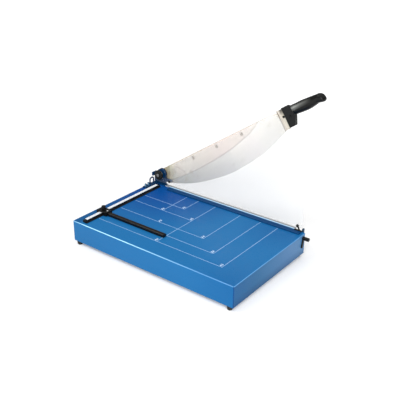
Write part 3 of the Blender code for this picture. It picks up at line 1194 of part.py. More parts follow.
def make_blade():
    """The lever blade: a plate bevelled on its outer side, relieved above the ground edge."""
    inner = blade_outline(0)
    outer = blade_outline(BLADE_BEVEL)
    mesh = bpy.data.meshes.new("blade")
    work = bmesh.new()
    near = [work.verts.new((BLADE_LEFT, across, up)) for across, up in inner]
    far = [work.verts.new((BLADE_RIGHT, across, up)) for across, up in outer]
    work.faces.new(near)
    work.faces.new(list(reversed(far)))
    count = len(near)
    for index in range(count):
        after = (index + 1) % count
        work.faces.new((near[after], near[index], far[index]))
        work.faces.new((near[after], far[index], far[after]))
    bmesh.ops.recalc_face_normals(work, faces=work.faces)
    work.to_mesh(mesh)
    work.free()
    blade = bpy.data.objects.new("blade", mesh)
    settle(blade, BLADE_AXIS, (0, 0, 0))
    line = smooth_line([(BLADE_REACH * along, BLADE_DEPTH * drop)
                        for along, drop in zip(RELIEF_ALONG_SHARES, RELIEF_DROP_SHARES)], 4)
    relief = [blade_spot(reach, drop) for reach, drop in line]
    far_back = 2 * BLADE_BOSS_RADIUS
    relief += [blade_spot(-far_back, -far_back), blade_spot(-far_back, far_back),
               blade_spot(0, RELIEF_DROP_SHARES[0] * BLADE_DEPTH)]
    pocket = sheet("blade_relief", "YZ", [relief], BLADE_LEFT - OVERRUN, BLADE_LEFT + RELIEF,
                   BLADE_AXIS, True, True)
    cut(blade, pocket)
    drill_blade(blade, 0, PIVOT_TO_SPINE, PIVOT_RADIUS + GAP)
    for reach in BLADE_SCREW_REACHES:
        drill_blade(blade, reach, BLADE_SCREW_DROP, BLADE_SCREW_RADIUS + GAP)
        y, z = blade_spot(reach, BLADE_SCREW_DROP)
        floor = BLADE_LEFT + RELIEF + BLADE_HEAD_HEIGHT + GAP
        deep = BLADE_HEAD_HEIGHT + RELIEF + OVERRUN
        drill(blade, "X", (floor - deep / 2, y, z), BLADE_HEAD_RADIUS + GAP, deep, BLADE_AXIS)
    for reach, drop in ((HANDLE_BOLT_REACH, HANDLE_BOLT_DROP), (PLATE_BOLT_REACH, PLATE_BOLT_DROP)):
        drill_blade(blade, reach, drop, HANDLE_BOLT_RADIUS + GAP)
    dress(blade, "blade_steel")


def drill_blade(piece, reach, drop, radius, sides=ROUND):
    """Drill across a piece of the blade group at a reach and drop."""
    y, z = blade_spot(reach, drop)
    return drill(piece, "X", (0, y, z), radius, 4 * ARM_RIGHT, BLADE_AXIS, sides)


def make_arm():
    """The stiffening arm on the outer side, with the screws that hold the blade to it."""
    outline = [blade_spot(ARM_ROOT_REACH, ARM_ROOT_DROP), blade_spot(ARM_REACH, ARM_TIP_DROP),
               blade_spot(ARM_REACH, ARM_TOP_DROP)]
    rise = math.degrees(math.asin((PIVOT_TO_SPINE - ARM_TOP_DROP) / BLADE_BOSS_RADIUS))
    outline += arc((0, 0), BLADE_BOSS_RADIUS, 180 - rise, -90, SMALL)
    arm = sheet("blade_arm", "YZ", [outline], ARM_LEFT, ARM_RIGHT, BLADE_AXIS, True)
    drill_blade(arm, 0, PIVOT_TO_SPINE, PIVOT_RADIUS + GAP)
    for number, reach in enumerate(BLADE_SCREW_REACHES, 1):
        drill_blade(arm, reach, BLADE_SCREW_DROP, BLADE_SCREW_RADIUS + GAP)
        y, z = blade_spot(reach, BLADE_SCREW_DROP)
        seat = BLADE_LEFT + RELIEF + BLADE_HEAD_HEIGHT
        profile = [(0, BLADE_HEAD_HEIGHT - SCREW_SHY), (SOCKET_RADIUS, BLADE_HEAD_HEIGHT - SCREW_SHY),
                   (SOCKET_RADIUS, BLADE_HEAD_HEIGHT), (BLADE_HEAD_RADIUS, BLADE_HEAD_HEIGHT),
                   (BLADE_HEAD_RADIUS, 0), (BLADE_SCREW_RADIUS, 0),
                   (BLADE_SCREW_RADIUS, seat - ARM_RIGHT), (0, seat - ARM_RIGHT)]
        screw = turned(f"blade_screw_{number}", "X", (seat, y, z), profile, BLADE_AXIS,
                       sides=SMALL)
        screw.rotation_euler = (0, -math.pi / 2, 0)
        dress(screw, "spring_steel")
    dress(arm, "zinc_steel")


def make_handle():
    """The end plate, handle bracket and grip at the front end of the blade."""
    plate_end = PLATE_REACH + PLATE_WIDTH
    outline = [blade_spot(PLATE_REACH, PLATE_LOW_DROP), blade_spot(plate_end, PLATE_LOW_DROP),
               blade_spot(plate_end, PLATE_TOP_DROP), blade_spot(PLATE_REACH, PLATE_TOP_DROP)]
    plate_right = BLADE_LEFT - GAP
    plate = sheet("end_plate", "YZ", [outline], plate_right - PLATE_THICKNESS, plate_right,
                  BLADE_AXIS, True)
    drill_blade(plate, PLATE_BOLT_REACH, PLATE_BOLT_DROP, HANDLE_BOLT_RADIUS + GAP)
    dress(plate, "satin_steel")
    start = plate_end + GAP
    left, right = plate_right - BRACKET_CHEEK, BLADE_RIGHT + GAP + BRACKET_CHEEK
    nose = BRACKET_END_REACH - BRACKET_NOSE
    outline = [blade_spot(start, BRACKET_LOW_DROP), blade_spot(nose, BRACKET_LOW_DROP),
               blade_spot(BRACKET_END_REACH, BRACKET_NOSE_DROP),
               blade_spot(BRACKET_END_REACH, -BRACKET_TOP_DROP),
               blade_spot(nose, BRACKET_TOP_DROP), blade_spot(start, BRACKET_TOP_DROP)]
    bracket = sheet("handle_bracket", "YZ", [outline], left, right, BLADE_AXIS, True)
    cheek = [blade_spot(PLATE_REACH, BRACKET_LOW_DROP - GAP),
             blade_spot(start + OVERRUN, BRACKET_LOW_DROP - GAP),
             blade_spot(start + OVERRUN, PLATE_TOP_DROP), blade_spot(PLATE_REACH, PLATE_TOP_DROP)]
    rear = sheet("handle_bracket_cheek", "YZ", [cheek], BLADE_RIGHT + GAP, right - GAP,
                 BLADE_AXIS, True, True)
    cut(bracket, rear, "UNION")
    slack = 2 * GAP
    tip_reach, tip_drop = edge_line()[-1]
    slot = [blade_spot(PLATE_REACH - OVERRUN, TANG_TOP_DROP - slack),
            blade_spot(TANG_REACH + slack, TANG_TOP_DROP - slack),
            blade_spot(TANG_REACH + slack, TANG_LOW_DROP + slack),
            blade_spot(tip_reach, tip_drop + slack),
            blade_spot(PLATE_REACH - OVERRUN, PLATE_LOW_DROP + OVERRUN)]
    pocket = sheet("handle_bracket_slot", "YZ", [slot], BLADE_LEFT - GAP, BLADE_RIGHT + GAP,
                   BLADE_AXIS, True, True)
    cut(bracket, pocket)
    drill_blade(bracket, HANDLE_BOLT_REACH, HANDLE_BOLT_DROP, HANDLE_BOLT_RADIUS + GAP)
    drill_blade(bracket, PLATE_BOLT_REACH, PLATE_BOLT_DROP, HANDLE_BOLT_RADIUS + GAP)
    dress(bracket, "black_plastic")
    for name, reach, drop, face in (
            ("handle_bolt", HANDLE_BOLT_REACH, HANDLE_BOLT_DROP, left),
            ("plate_bolt", PLATE_BOLT_REACH, PLATE_BOLT_DROP, plate_right - PLATE_THICKNESS)):
        y, z = blade_spot(reach, drop)
        seat = face - GAP
        bolt = dome_screw(name, "X", (seat, y, z), HANDLE_BOLT_RADIUS, right - GAP - seat,
                          HANDLE_HEAD_RADIUS, HANDLE_HEAD_HEIGHT, BLADE_AXIS, -1)
        dress(bolt, "black_plastic")
    make_grip((left + right) / 2)


def make_grip(middle_x):
    """The moulded grip: rounded-square rings along the blade, closed at both ends."""
    mesh = bpy.data.meshes.new("grip")
    work = bmesh.new()
    rings = []
    for along, top, low, wide in zip(GRIP_ALONG_SHARES, GRIP_TOP_SHARES, GRIP_LOW_SHARES,
                                     GRIP_WIDTH_SHARES):
        reach = BRACKET_END_REACH + GAP + GRIP_LENGTH * along
        middle = (top + low) / 2 * GRIP_HEIGHT
        tall = (top - low) / 2 * GRIP_HEIGHT
        broad = wide / 2 * GRIP_WIDTH
        y, centre_z = blade_spot(reach, GRIP_AXIS_DROP)
        ring = []
        for side in range(GRIP_SIDES):
            angle = 2 * math.pi * side / GRIP_SIDES
            across, up = math.cos(angle), math.sin(angle)
            power = 2 / GRIP_SQUARENESS
            x = middle_x + broad * math.copysign(abs(across) ** power, across)
            z = centre_z + middle + tall * math.copysign(abs(up) ** power, up)
            ring.append(work.verts.new((x, y, z)))
        rings.append(ring)
    for first, second in zip(rings, rings[1:]):
        for side in range(GRIP_SIDES):
            after = (side + 1) % GRIP_SIDES
            work.faces.new((first[side], first[after], second[after], second[side]))
    work.faces.new(list(reversed(rings[0])))
    work.faces.new(rings[-1])
    bmesh.ops.recalc_face_normals(work, faces=work.faces)
    work.to_mesh(mesh)
    work.free()
    shade(mesh, 50)
    grip = bpy.data.objects.new("grip", mesh)
    settle(grip, BLADE_AXIS, (0, 0, 0))
    dress(grip, "black_plastic")


def guard_outline():
    """Edge of the guard: flat foot, arc at the front, top along the raised blade, rear tab."""
    centre = (GUARD_CENTRE_Y, GUARD_LIFT)
    slope = math.tan(RAISED_ANGLE)
    meet = math.degrees(RAISED_ANGLE + math.asin(
        (GUARD_TOP_Z - GUARD_LIFT - slope * GUARD_CENTRE_Y) * math.cos(RAISED_ANGLE)
        / GUARD_RADIUS))
    turn = math.degrees(GUARD_CORNER / GUARD_RADIUS)
    front = arc(centre, GUARD_RADIUS, 180, 180 - meet + turn, FINE)
    corner = arc(centre, GUARD_RADIUS, 180 - meet, 180 - meet, 1)[0]
    after = (corner[0] + GUARD_CORNER * math.cos(RAISED_ANGLE),
             corner[1] - GUARD_CORNER * math.sin(RAISED_ANGLE))
    bend = []
    for step in range(1, SMALL // 2 + 1):
        t = 2 * step / SMALL
        bend.append(tuple((1 - t) ** 2 * front[-1][k] + 2 * t * (1 - t) * corner[k]
                          + t * t * after[k] for k in range(2)))
    tab_top = GUARD_LIFT + GUARD_TAB_HEIGHT
    rear_top = GUARD_TOP_Z - slope * GUARD_REAR_Y
    return front + bend + [(GUARD_REAR_Y, rear_top), (GUARD_REAR_Y, tab_top),
                           (GUARD_TAB_Y, tab_top), (GUARD_TAB_Y, GUARD_LIFT)]


def make_guard():
    """The clear guard, its two screws into the bracket and the forked post at its front."""
    holes = [arc((screw_y, GUARD_SCREW_Z), GUARD_SCREW_RADIUS + GAP, 0, 360, SMALL)[:-1]
             for screw_y in GUARD_SCREW_YS]
    panel = sheet("guard_panel", "YZ", [guard_outline()] + holes, GUARD_LEFT, GUARD_RIGHT)
    dress(panel, "clear_plastic")
    seat = GUARD_LEFT - GAP
    for name, screw_y in zip(("front", "rear"), GUARD_SCREW_YS):
        screw = dome_screw(f"guard_screw_{name}", "X", (seat, screw_y, GUARD_SCREW_Z),
                           GUARD_SCREW_RADIUS, GUARD_THICKNESS + 2 * GAP + EAR_THICKNESS / 2 - GAP,
                           GUARD_HEAD_RADIUS, GUARD_HEAD_HEIGHT, FRAME, -1)
        dress(screw, "black_plastic")
    left, right = GUARD_LEFT - GAP - POST_CHEEK, GUARD_RIGHT + GAP + POST_CHEEK
    post = block("guard_post", (left, POST_FRONT_Y, -POST_DROP),
                 (right, POST_FRONT_Y + POST_LENGTH, POST_TOP))
    slot = block("guard_post_slot", (GUARD_LEFT - GAP, POST_FRONT_Y - OVERRUN, GUARD_LIFT - GAP),
                 (GUARD_RIGHT + GAP, POST_FRONT_Y + POST_LENGTH + OVERRUN, POST_TOP + OVERRUN),
                 FRAME, True)
    cut(post, slot)
    dress(post, "black_plastic")


make_base()
make_ribs()
make_feet()
make_counter_blade()
make_fence()
make_back_stop()
make_clamp()
make_cam_lever()
make_pivot()
make_hoop()
make_blade()
make_arm()
make_handle()
make_guard()
bpy.context.view_layer.update()
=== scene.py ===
import json
import math

import bmesh
import bpy
import numpy as np
from mathutils import Matrix, Vector

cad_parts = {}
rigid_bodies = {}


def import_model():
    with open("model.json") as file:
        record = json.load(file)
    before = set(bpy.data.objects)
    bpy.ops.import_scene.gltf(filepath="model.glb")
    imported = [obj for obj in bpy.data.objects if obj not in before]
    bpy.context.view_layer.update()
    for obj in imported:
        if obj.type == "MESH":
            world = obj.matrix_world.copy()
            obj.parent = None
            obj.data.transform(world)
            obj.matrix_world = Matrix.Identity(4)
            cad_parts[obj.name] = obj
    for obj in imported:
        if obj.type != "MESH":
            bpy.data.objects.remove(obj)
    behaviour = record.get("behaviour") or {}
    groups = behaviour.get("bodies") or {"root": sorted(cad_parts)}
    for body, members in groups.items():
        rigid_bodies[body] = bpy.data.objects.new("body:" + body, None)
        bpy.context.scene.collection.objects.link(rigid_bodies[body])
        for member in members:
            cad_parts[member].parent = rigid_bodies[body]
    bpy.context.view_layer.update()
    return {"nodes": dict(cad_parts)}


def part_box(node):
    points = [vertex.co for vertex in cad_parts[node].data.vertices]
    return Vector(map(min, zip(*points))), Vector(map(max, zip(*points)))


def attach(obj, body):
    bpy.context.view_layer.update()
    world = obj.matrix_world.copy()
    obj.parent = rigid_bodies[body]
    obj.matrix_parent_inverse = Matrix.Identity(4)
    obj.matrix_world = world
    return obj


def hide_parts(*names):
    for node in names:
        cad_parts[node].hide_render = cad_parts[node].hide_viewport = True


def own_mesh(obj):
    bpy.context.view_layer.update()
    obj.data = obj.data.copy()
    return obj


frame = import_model()


# Base shell: one folded tray of 1.5 mm sheet steel, open below, with a turned-in rim. Every
# fold has a radius of about 2 mm. It is sprayed mid blue with a fine orange peel. Painted shade
# darkens the bed near the pivot, near the clamp's front end and behind the rail, the front left
# corner, and the front wall towards its left end and its foot. Painted highlights lie along the
# folds, brightest on the left wall's fold towards the rear, and lighten the front wall to the
# right.
shell_low, shell_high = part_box("base_shell")
bed_to_cut, fence_to_rear = 14.0, 49.5
cut_x = shell_high.x + 0.001 * bed_to_cut
fence_y = shell_high.y - 0.001 * fence_to_rear
bed_z = shell_high.z


def spot(x, y, z):
    """Millimetres from the corner where fence and cut meet, on the bed, to metres in the room."""
    x, y, z = np.broadcast_arrays(np.asarray(x, float), np.asarray(y, float), np.asarray(z, float))
    return np.stack([cut_x + 0.001 * x, fence_y + 0.001 * y, bed_z + 0.001 * z], -1)


def shade(piece, angle):
    """Smooth shading that stays sharp over edges that turn by more than the angle in degrees."""
    piece.data.shade_smooth()
    piece.data.set_sharp_from_angle(angle=math.radians(angle))
    return piece


def skin(name, rings, angle=40, ends=True):
    """A closed surface over rings of points, one row of the array each.

    Neighbours of one ring and the same two of the next ring make a quad; a flat face closes
    the first and the last ring. All faces turn over if the enclosed volume comes out negative.
    """
    count, around = rings.shape[:2]
    order = np.arange(count * around).reshape(count, around)
    beside = np.roll(order, -1, axis=1)
    quads = np.stack([order[:-1], beside[:-1], beside[1:], order[1:]], -1).reshape(-1, 4)
    points = rings.reshape(-1, 3)
    a, b, c, d = (points[quads[:, k]] for k in range(4))
    volume = np.einsum("ij,ij->", a - points[0], np.cross(b - points[0], c - points[0]))
    volume += np.einsum("ij,ij->", a - points[0], np.cross(c - points[0], d - points[0]))
    for ring, turn in ((rings[0], -1), (rings[-1], 1)):
        middle = ring.mean(axis=0)
        fan = np.cross(ring - middle, np.roll(ring, -1, axis=0) - middle)
        volume += turn * np.einsum("j,ij->", middle - points[0], fan)
    faces = quads.tolist()
    if ends:
        faces += [order[0][::-1].tolist(), order[-1].tolist()]
    if volume < 0:
        faces = [face[::-1] for face in faces]
    mesh = bpy.data.meshes.new(name)
    mesh.from_pydata(points.tolist(), [], faces)
    piece = bpy.data.objects.new(name, mesh)
    bpy.context.scene.collection.objects.link(piece)
    return shade(piece, angle)


def bend(middle, radius, start, stop, steps):
    """Points on part of a circle: the middle plus the radius at even angles, in degrees."""
    turn = np.radians(np.linspace(start, stop, steps + 1))
    return np.stack([middle[0] + radius * np.cos(turn), middle[1] + radius * np.sin(turn)], -1)


def tray_rings(profile, half_x, half_y, corner):
    """A profile of (inset, height) pairs carried round a rectangle with rounded corners.

    Each pair gives one ring. Its corners are quarter circles whose radius shrinks with the
    inset, and one more point stands a little way along the wall beside each quarter circle.
    """
    inset, height = profile[:, 0, None], profile[:, 1, None]
    radius = np.maximum(corner - inset, 0.4)
    rings = []
    for quarter, (side_x, side_y) in enumerate(((1, 1), (-1, 1), (-1, -1), (1, -1))):
        turn = math.pi / 2 * (quarter + np.linspace(0, 1, 9))
        x = side_x * (half_x - inset - radius) + radius * np.cos(turn)
        y = side_y * (half_y - inset - radius) + radius * np.sin(turn)
        lead = np.array([[math.sin(turn[0]), -math.cos(turn[0])]])
        trail = np.array([[-math.sin(turn[-1]), math.cos(turn[-1])]])
        first = np.stack([x[:, :1], y[:, :1]], -1) + 0.5 * lead
        last = np.stack([x[:, -1:], y[:, -1:]], -1) + 0.5 * trail
        rings += [first, np.stack([x, y], -1), last]
    flat = np.concatenate(rings, axis=1)
    return np.concatenate([flat, np.broadcast_to(height[..., None], flat.shape[:2] + (1,))], -1)


def spread(tree, value, start, stop, low=0.0, high=1.0, way="LINEAR"):
    """A Map Range node: the value from start to stop becomes low to high, held at both ends."""
    node = tree.nodes.new("ShaderNodeMapRange")
    node.interpolation_type = way
    for socket, number in zip(("From Min", "From Max", "To Min", "To Max"),
                              (start, stop, low, high)):
        node.inputs[socket].default_value = number
    tree.links.new(value, node.inputs["Value"])
    return node.outputs["Result"]


def finish(name, tones, rough, metallic=0.0, coat=0.0, broad=12.0, fine=900.0,
           stretch=(1, 1, 1), depth=0.00002, specular=0.5):
    """A Principled material with two tones drifting over the piece and a fine grain.

    A broad noise mixes the two tones. A fine noise, stretched along the grain, moves the
    roughness between its two values and lifts the surface by the depth in metres.
    Returns the material, its node tree, the shader and the Object coordinates' socket.
    """
    material = bpy.data.materials.new(name)
    material.use_nodes = True
    tree = material.node_tree
    shader = tree.nodes["Principled BSDF"]
    shader.inputs["Metallic"].default_value = metallic
    shader.inputs["Specular IOR Level"].default_value = specular
    shader.inputs["Coat Weight"].default_value = coat
    shader.inputs["Coat Roughness"].default_value = 0.08
    place = tree.nodes.new("ShaderNodeTexCoord").outputs["Object"]
    drift = tree.nodes.new("ShaderNodeTexNoise")
    drift.inputs["Scale"].default_value = broad
    drift.inputs["Detail"].default_value = 3.0
    tree.links.new(place, drift.inputs["Vector"])
    mix = tree.nodes.new("ShaderNodeMix")
    mix.name = "tones"
    mix.data_type = "RGBA"
    mix.inputs[6].default_value = (*tones[0], 1)
    mix.inputs[7].default_value = (*tones[1], 1)
    tree.links.new(drift.outputs["Fac"], mix.inputs[0])
    tree.links.new(mix.outputs[2], shader.inputs["Base Color"])
    along = tree.nodes.new("ShaderNodeMapping")
    along.inputs["Scale"].default_value = stretch
    tree.links.new(place, along.inputs["Vector"])
    grain = tree.nodes.new("ShaderNodeTexNoise")
    grain.inputs["Scale"].default_value = fine
    grain.inputs["Detail"].default_value = 4.0
    tree.links.new(along.outputs["Vector"], grain.inputs["Vector"])
    tree.links.new(spread(tree, grain.outputs["Fac"], 0.3, 0.7, *rough), shader.inputs["Roughness"])
    relief = tree.nodes.new("ShaderNodeBump")
    relief.inputs["Distance"].default_value = depth
    tree.links.new(grain.outputs["Fac"], relief.inputs["Height"])
    tree.links.new(relief.outputs["Normal"], shader.inputs["Normal"])
    return material, tree, shader, place


def settle(piece, body, material, slot, *nodes):
    """Give a piece its material, let it ride on a body and stand for CAD nodes. The slot is not
    used.
    """
    piece.data.materials.clear()
    piece.data.materials.append(material)
    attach(piece, body)
    if nodes:
        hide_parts(*nodes)


def sum_of(tree, operation, *terms):
    """A Math node over sockets and plain numbers; returns its value."""
    node = tree.nodes.new("ShaderNodeMath")
    node.operation = operation
    for number, term in enumerate(terms):
        if isinstance(term, (int, float)):
            node.inputs[number].default_value = term
        else:
            tree.links.new(term, node.inputs[number])
    return node.outputs["Value"]


def parts_of(tree, vector):
    """The X, Y and Z of a vector socket, as three sockets."""
    node = tree.nodes.new("ShaderNodeSeparateXYZ")
    tree.links.new(vector, node.inputs["Vector"])
    return node.outputs["X"], node.outputs["Y"], node.outputs["Z"]


def facing_of(tree):
    """The X, Y and Z of the direction in which the surface faces."""
    return parts_of(tree, tree.nodes.new("ShaderNodeNewGeometry").outputs["Normal"])


def ramp(tree, value, rows):
    """A Color Ramp over a value: each row is a position and its red, green and blue, or a grey."""
    node = tree.nodes.new("ShaderNodeValToRGB")
    rows = [(row[0], *(row[1:] * 3 if len(row) == 2 else row[1:]), 1) for row in rows]
    stops = node.color_ramp.elements
    stops[0].position, stops[1].position = rows[0][0], rows[-1][0]
    stops[0].color, stops[1].color = rows[0][1:], rows[-1][1:]
    for position, *colour in rows[1:-1]:
        stops.new(position).color = colour
    tree.links.new(value, node.inputs["Fac"])
    return node.outputs["Color"]


def blend(tree, share, first, second, way="MIX"):
    """A colour between two sockets or plain colours, by a share that is a socket or a number."""
    node = tree.nodes.new("ShaderNodeMix")
    node.data_type = "RGBA"
    node.blend_type = way
    for number, term in ((0, share), (6, first), (7, second)):
        if isinstance(term, bpy.types.NodeSocket):
            tree.links.new(term, node.inputs[number])
        else:
            node.inputs[number].default_value = term if number == 0 else (*term, 1)
    return node.outputs[2]


blue_paint, tree, shader, place = finish(
    "blue_paint", ((0.010, 0.139, 0.354), (0.014, 0.153, 0.388)), (0.27, 0.31), broad=5.0,
    fine=520.0, depth=0.000006, specular=0.12)
deep, rim = 61.5, 22.0
plain = tree.nodes["tones"].outputs[2]
face_x, face_y, face_z = facing_of(tree)
place_x, place_y, place_z = parts_of(tree, place)
top_face = sum_of(tree, "GREATER_THAN", face_z, 0.9)
front_face = sum_of(tree, "LESS_THAN", face_y, -0.6)
left_side = sum_of(tree, "LESS_THAN", face_x, -0.2)
along_side = spread(tree, place_y, shell_low.y, shell_high.y)
along_front = spread(tree, place_x, shell_low.x, shell_high.x)
down_front = spread(tree, place_z, bed_z, bed_z - 0.001 * deep)
# Painted light and shade on the front wall: darker at its left end and towards its foot, lighter to
# the right.
painted_front_light = blend(
    tree, 1.0, ramp(tree, along_front, ((0.0, 0.40, 0.76, 0.76), (0.30, 1.5, 0.90, 0.80),
                                        (0.75, 5.6, 1.36, 1.10), (1.0, 8.0, 1.66, 1.24))),
    ramp(tree, down_front, ((0.58, 1.0), (0.80, 0.76, 0.82, 0.86), (1.0, 0.40, 0.52, 0.60))),
    "MULTIPLY")
tone = blend(tree, front_face, plain, blend(tree, 1.0, plain, painted_front_light, "MULTIPLY"))
# Painted shade on the strip of bed behind the rail.
painted_rear_shade = ramp(tree, along_side, ((0.945, 0.0), (0.965, 0.6)))
tone = blend(tree, sum_of(tree, "MULTIPLY", painted_rear_shade, top_face), tone, (0.004, 0.052, 0.170))
# Painted shade: the bed darkens towards the pivot and towards the clamp's front end, and all the
# paint towards the front left corner.
for centre, near_end, far_end, most, painted_shade_tone, top_only in (
        ((-30, -20, 0), 0.07, 0.27, 0.80, (0.0, 0.050, 0.27), True),
        ((-40, -430, 0), 0.03, 0.12, 0.35, (0.0, 0.080, 0.27), True),
        ((-351, -493, 0), 0.0, 0.15, 0.45, (0.0, 0.080, 0.26), False)):
    from_spot = tree.nodes.new("ShaderNodeVectorMath")
    from_spot.operation = "DISTANCE"
    from_spot.inputs[1].default_value = spot(*centre).tolist()
    tree.links.new(place, from_spot.inputs[0])
    share = spread(tree, from_spot.outputs["Value"], near_end, far_end, most, 0.0)
    if top_only:
        share = sum_of(tree, "MULTIPLY", share, top_face)
    tone = blend(tree, share, tone, painted_shade_tone)
# Painted highlight on the folds: a pale band over every fold, brightest on the left wall's fold
# towards the rear.
left_fold_highlight = ramp(tree, along_side, ((0.18, 0.0), (0.50, 0.55), (0.62, 1.0), (0.90, 1.0), (1.0, 0.3)))
fold_highlight_tone = blend(tree, sum_of(tree, "MULTIPLY", left_fold_highlight, left_side), (0.110, 0.300, 0.580),
                  (0.440, 0.820, 1.000))
fold_highlight_band = ramp(tree, face_z, ((0.08, 0.0), (0.30, 1.0), (0.80, 1.0), (0.97, 0.0)))
tone = blend(tree, fold_highlight_band, tone, fold_highlight_tone)
corner_band = sum_of(tree, "ABSOLUTE", sum_of(tree, "MULTIPLY", face_x, face_y))
seam = ramp(tree, corner_band, ((0.10, 0.0), (0.35, 0.8)))
tone = blend(tree, seam, tone, (0.005, 0.050, 0.190))
tree.links.new(tone, shader.inputs["Base Color"])

fold, low_fold, sheet, lead = 2.4, 1.6, 1.5, 0.4
half_across, half_along, corner, flat_part = 168.5, 271.25, 2.6, 30.0
outer = np.concatenate([[[flat_part, 0.0], [fold + lead, 0.0]],
                        bend((fold, -fold), fold, 90, 180, 8),
                        [[0.0, -fold - lead], [0.0, low_fold + lead - deep]],
                        bend((low_fold, low_fold - deep), low_fold, 180, 270, 8),
                        [[low_fold + lead, -deep], [rim, -deep]]])
inner = np.concatenate([[[rim, sheet - deep], [low_fold + lead, sheet - deep]],
                        bend((low_fold, low_fold - deep), low_fold - sheet, 270, 180, 6),
                        [[sheet, low_fold + lead - deep], [sheet, -fold - lead]],
                        bend((fold, -fold), fold - sheet, 180, 90, 6),
                        [[fold + lead, -sheet], [flat_part, -sheet]]])
rings = tray_rings(np.concatenate([outer, inner]), half_across, half_along, corner)
shell = skin("base_tray", spot(rings[..., 0] - bed_to_cut - half_across,
                               rings[..., 1] + fence_to_rear - half_along, rings[..., 2]), 30)
settle(shell, "base", blue_paint, "blue_paint", "base_shell")


# Ribs: two channels of the same sheet under the bed, in the same paint. The CAD pieces are
# right as they are, so a copy only gets its sharp sheet edges broken.
def broken(node, width=0.3, angle=30):
    """A copy of a CAD piece, its loose triangles merged, with every sharp edge broken.

    Merging joins equal points, a limited dissolve joins triangles of one plane, and a Bevel
    breaks the edges that turn by more than the angle, to a width in millimetres.
    """
    source = frame["nodes"][node].data
    points = np.zeros(len(source.vertices) * 3)
    corners = np.zeros(len(source.loops), np.int32)
    source.vertices.foreach_get("co", points)
    source.loops.foreach_get("vertex_index", corners)
    mesh = bpy.data.meshes.new(node + "_dressed")
    mesh.from_pydata(points.reshape(-1, 3).tolist(), [], corners.reshape(-1, 3).tolist())
    piece = bpy.data.objects.new(node + "_dressed", mesh)
    bpy.context.scene.collection.objects.link(piece)
    work = bmesh.new()
    work.from_mesh(mesh)
    bmesh.ops.remove_doubles(work, verts=work.verts, dist=0.000004)
    bmesh.ops.dissolve_limit(work, angle_limit=math.radians(1.0), verts=work.verts,
                             edges=work.edges)
    work.to_mesh(mesh)
    work.free()
    shade(piece, angle)
    if width:
        edge = piece.modifiers.new("broken_edge", "BEVEL")
        edge.width = width * 0.001
        edge.segments = 2
        edge.limit_method = "ANGLE"
        edge.angle_limit = math.radians(angle)
        edge.harden_normals = True
    return piece


for rib in ("rib_front", "rib_rear"):
    settle(broken(rib, 0.2), "base", blue_paint, "blue_paint", rib)


# Feet: four turned rubber buffers, slightly tapered, pushed through holes in the rim by a
# barbed stem. Black rubber, dull, with the bloom and fine pits that moulded rubber has.
def turned(name, start, axis, profile, sides=72, angle=40):
    """A turned piece: (radius, along) pairs in millimetres swung once round an axis.

    start is where along is zero, in millimetres, and axis is "X", "Y" or "Z". Each pair gives
    a ring: start, plus along on the axis, plus the radius times cosine and sine of the turn.
    """
    profile = np.asarray(profile, float)
    turn = np.linspace(0, 2 * math.pi, sides, endpoint=False)
    first, second, third = {"X": (1, 2, 0), "Y": (2, 0, 1), "Z": (0, 1, 2)}[axis]
    rings = np.zeros((len(profile), sides, 3))
    rings[..., first] = profile[:, 0, None] * np.cos(turn)
    rings[..., second] = profile[:, 0, None] * np.sin(turn)
    rings[..., third] = profile[:, 1, None]
    rings += np.asarray(start, float)
    return skin(name, spot(rings[..., 0], rings[..., 1], rings[..., 2]), angle)


rubber = finish("foot_rubber", ((0.010, 0.010, 0.011), (0.022, 0.021, 0.020)), (0.62, 0.85),
                broad=260.0, fine=1500.0, depth=0.00004, specular=0.35)[0]
foot_profile = np.concatenate([[[0.4, 5.2], [3.7, 5.2], [5.2, 3.5], [5.2, 1.8], [3.7, 1.8],
                                [3.7, -0.3], [6.9, -0.3]], bend((6.9, -0.9), 0.6, 90, 0, 3),
                               [[7.5, -5.4]], bend((5.7, -9.9), 0.8, 0, -90, 4), [[0.4, -10.7]]])
for number, (foot_x, foot_y) in enumerate(((-343, -478.5), (-343, 35), (-22, -478.5),
                                           (-22, 35)), 1):
    foot = turned(f"rubber_foot_{number}", (foot_x, foot_y, -deep), "Z", foot_profile)
    settle(foot, "base", rubber, "rubber", f"foot_{number}")


# Counter blade: the fixed half of the shear, a ground bar of tool steel screwed to the right
# wall. Its grinding runs along the bar, and its top edges are broken by half a millimetre.
ground_steel = finish("ground_steel", ((0.58, 0.60, 0.63), (0.66, 0.68, 0.71)), (0.24, 0.40), 0.7,
                      broad=30.0, fine=1400.0, stretch=(1, 0.02, 1), depth=0.000006)[0]
settle(broken("counter_blade", 0.25), "base", ground_steel, "ground_steel", "counter_blade")


# Side screws: four socket screws of zinc-plated steel, driven from inside the wall into the
# counter blade and the bracket. Only their heads show from below.
zinc = finish("zinc_plate", ((0.42, 0.43, 0.45), (0.60, 0.61, 0.62)), (0.25, 0.45), 1.0,
              broad=300.0, fine=2600.0, depth=0.000008)[0]
for number, screw_y in enumerate((23, -60, -231, -402), 1):
    head = turned(f"wall_screw_{number}", (-15.8, screw_y, -16), "X",
                  [[0.2, -2.0], [2.3, -2.0], [2.3, -4.0], [2.5, -4.2], [4.6, -4.2], [5.0, -3.8],
                   [5.0, 0.0], [3.0, 0.0], [3.0, 10.2], [0.2, 10.2]], 48)
    settle(head, "base", zinc, "zinc_steel", f"side_screw_{number}")


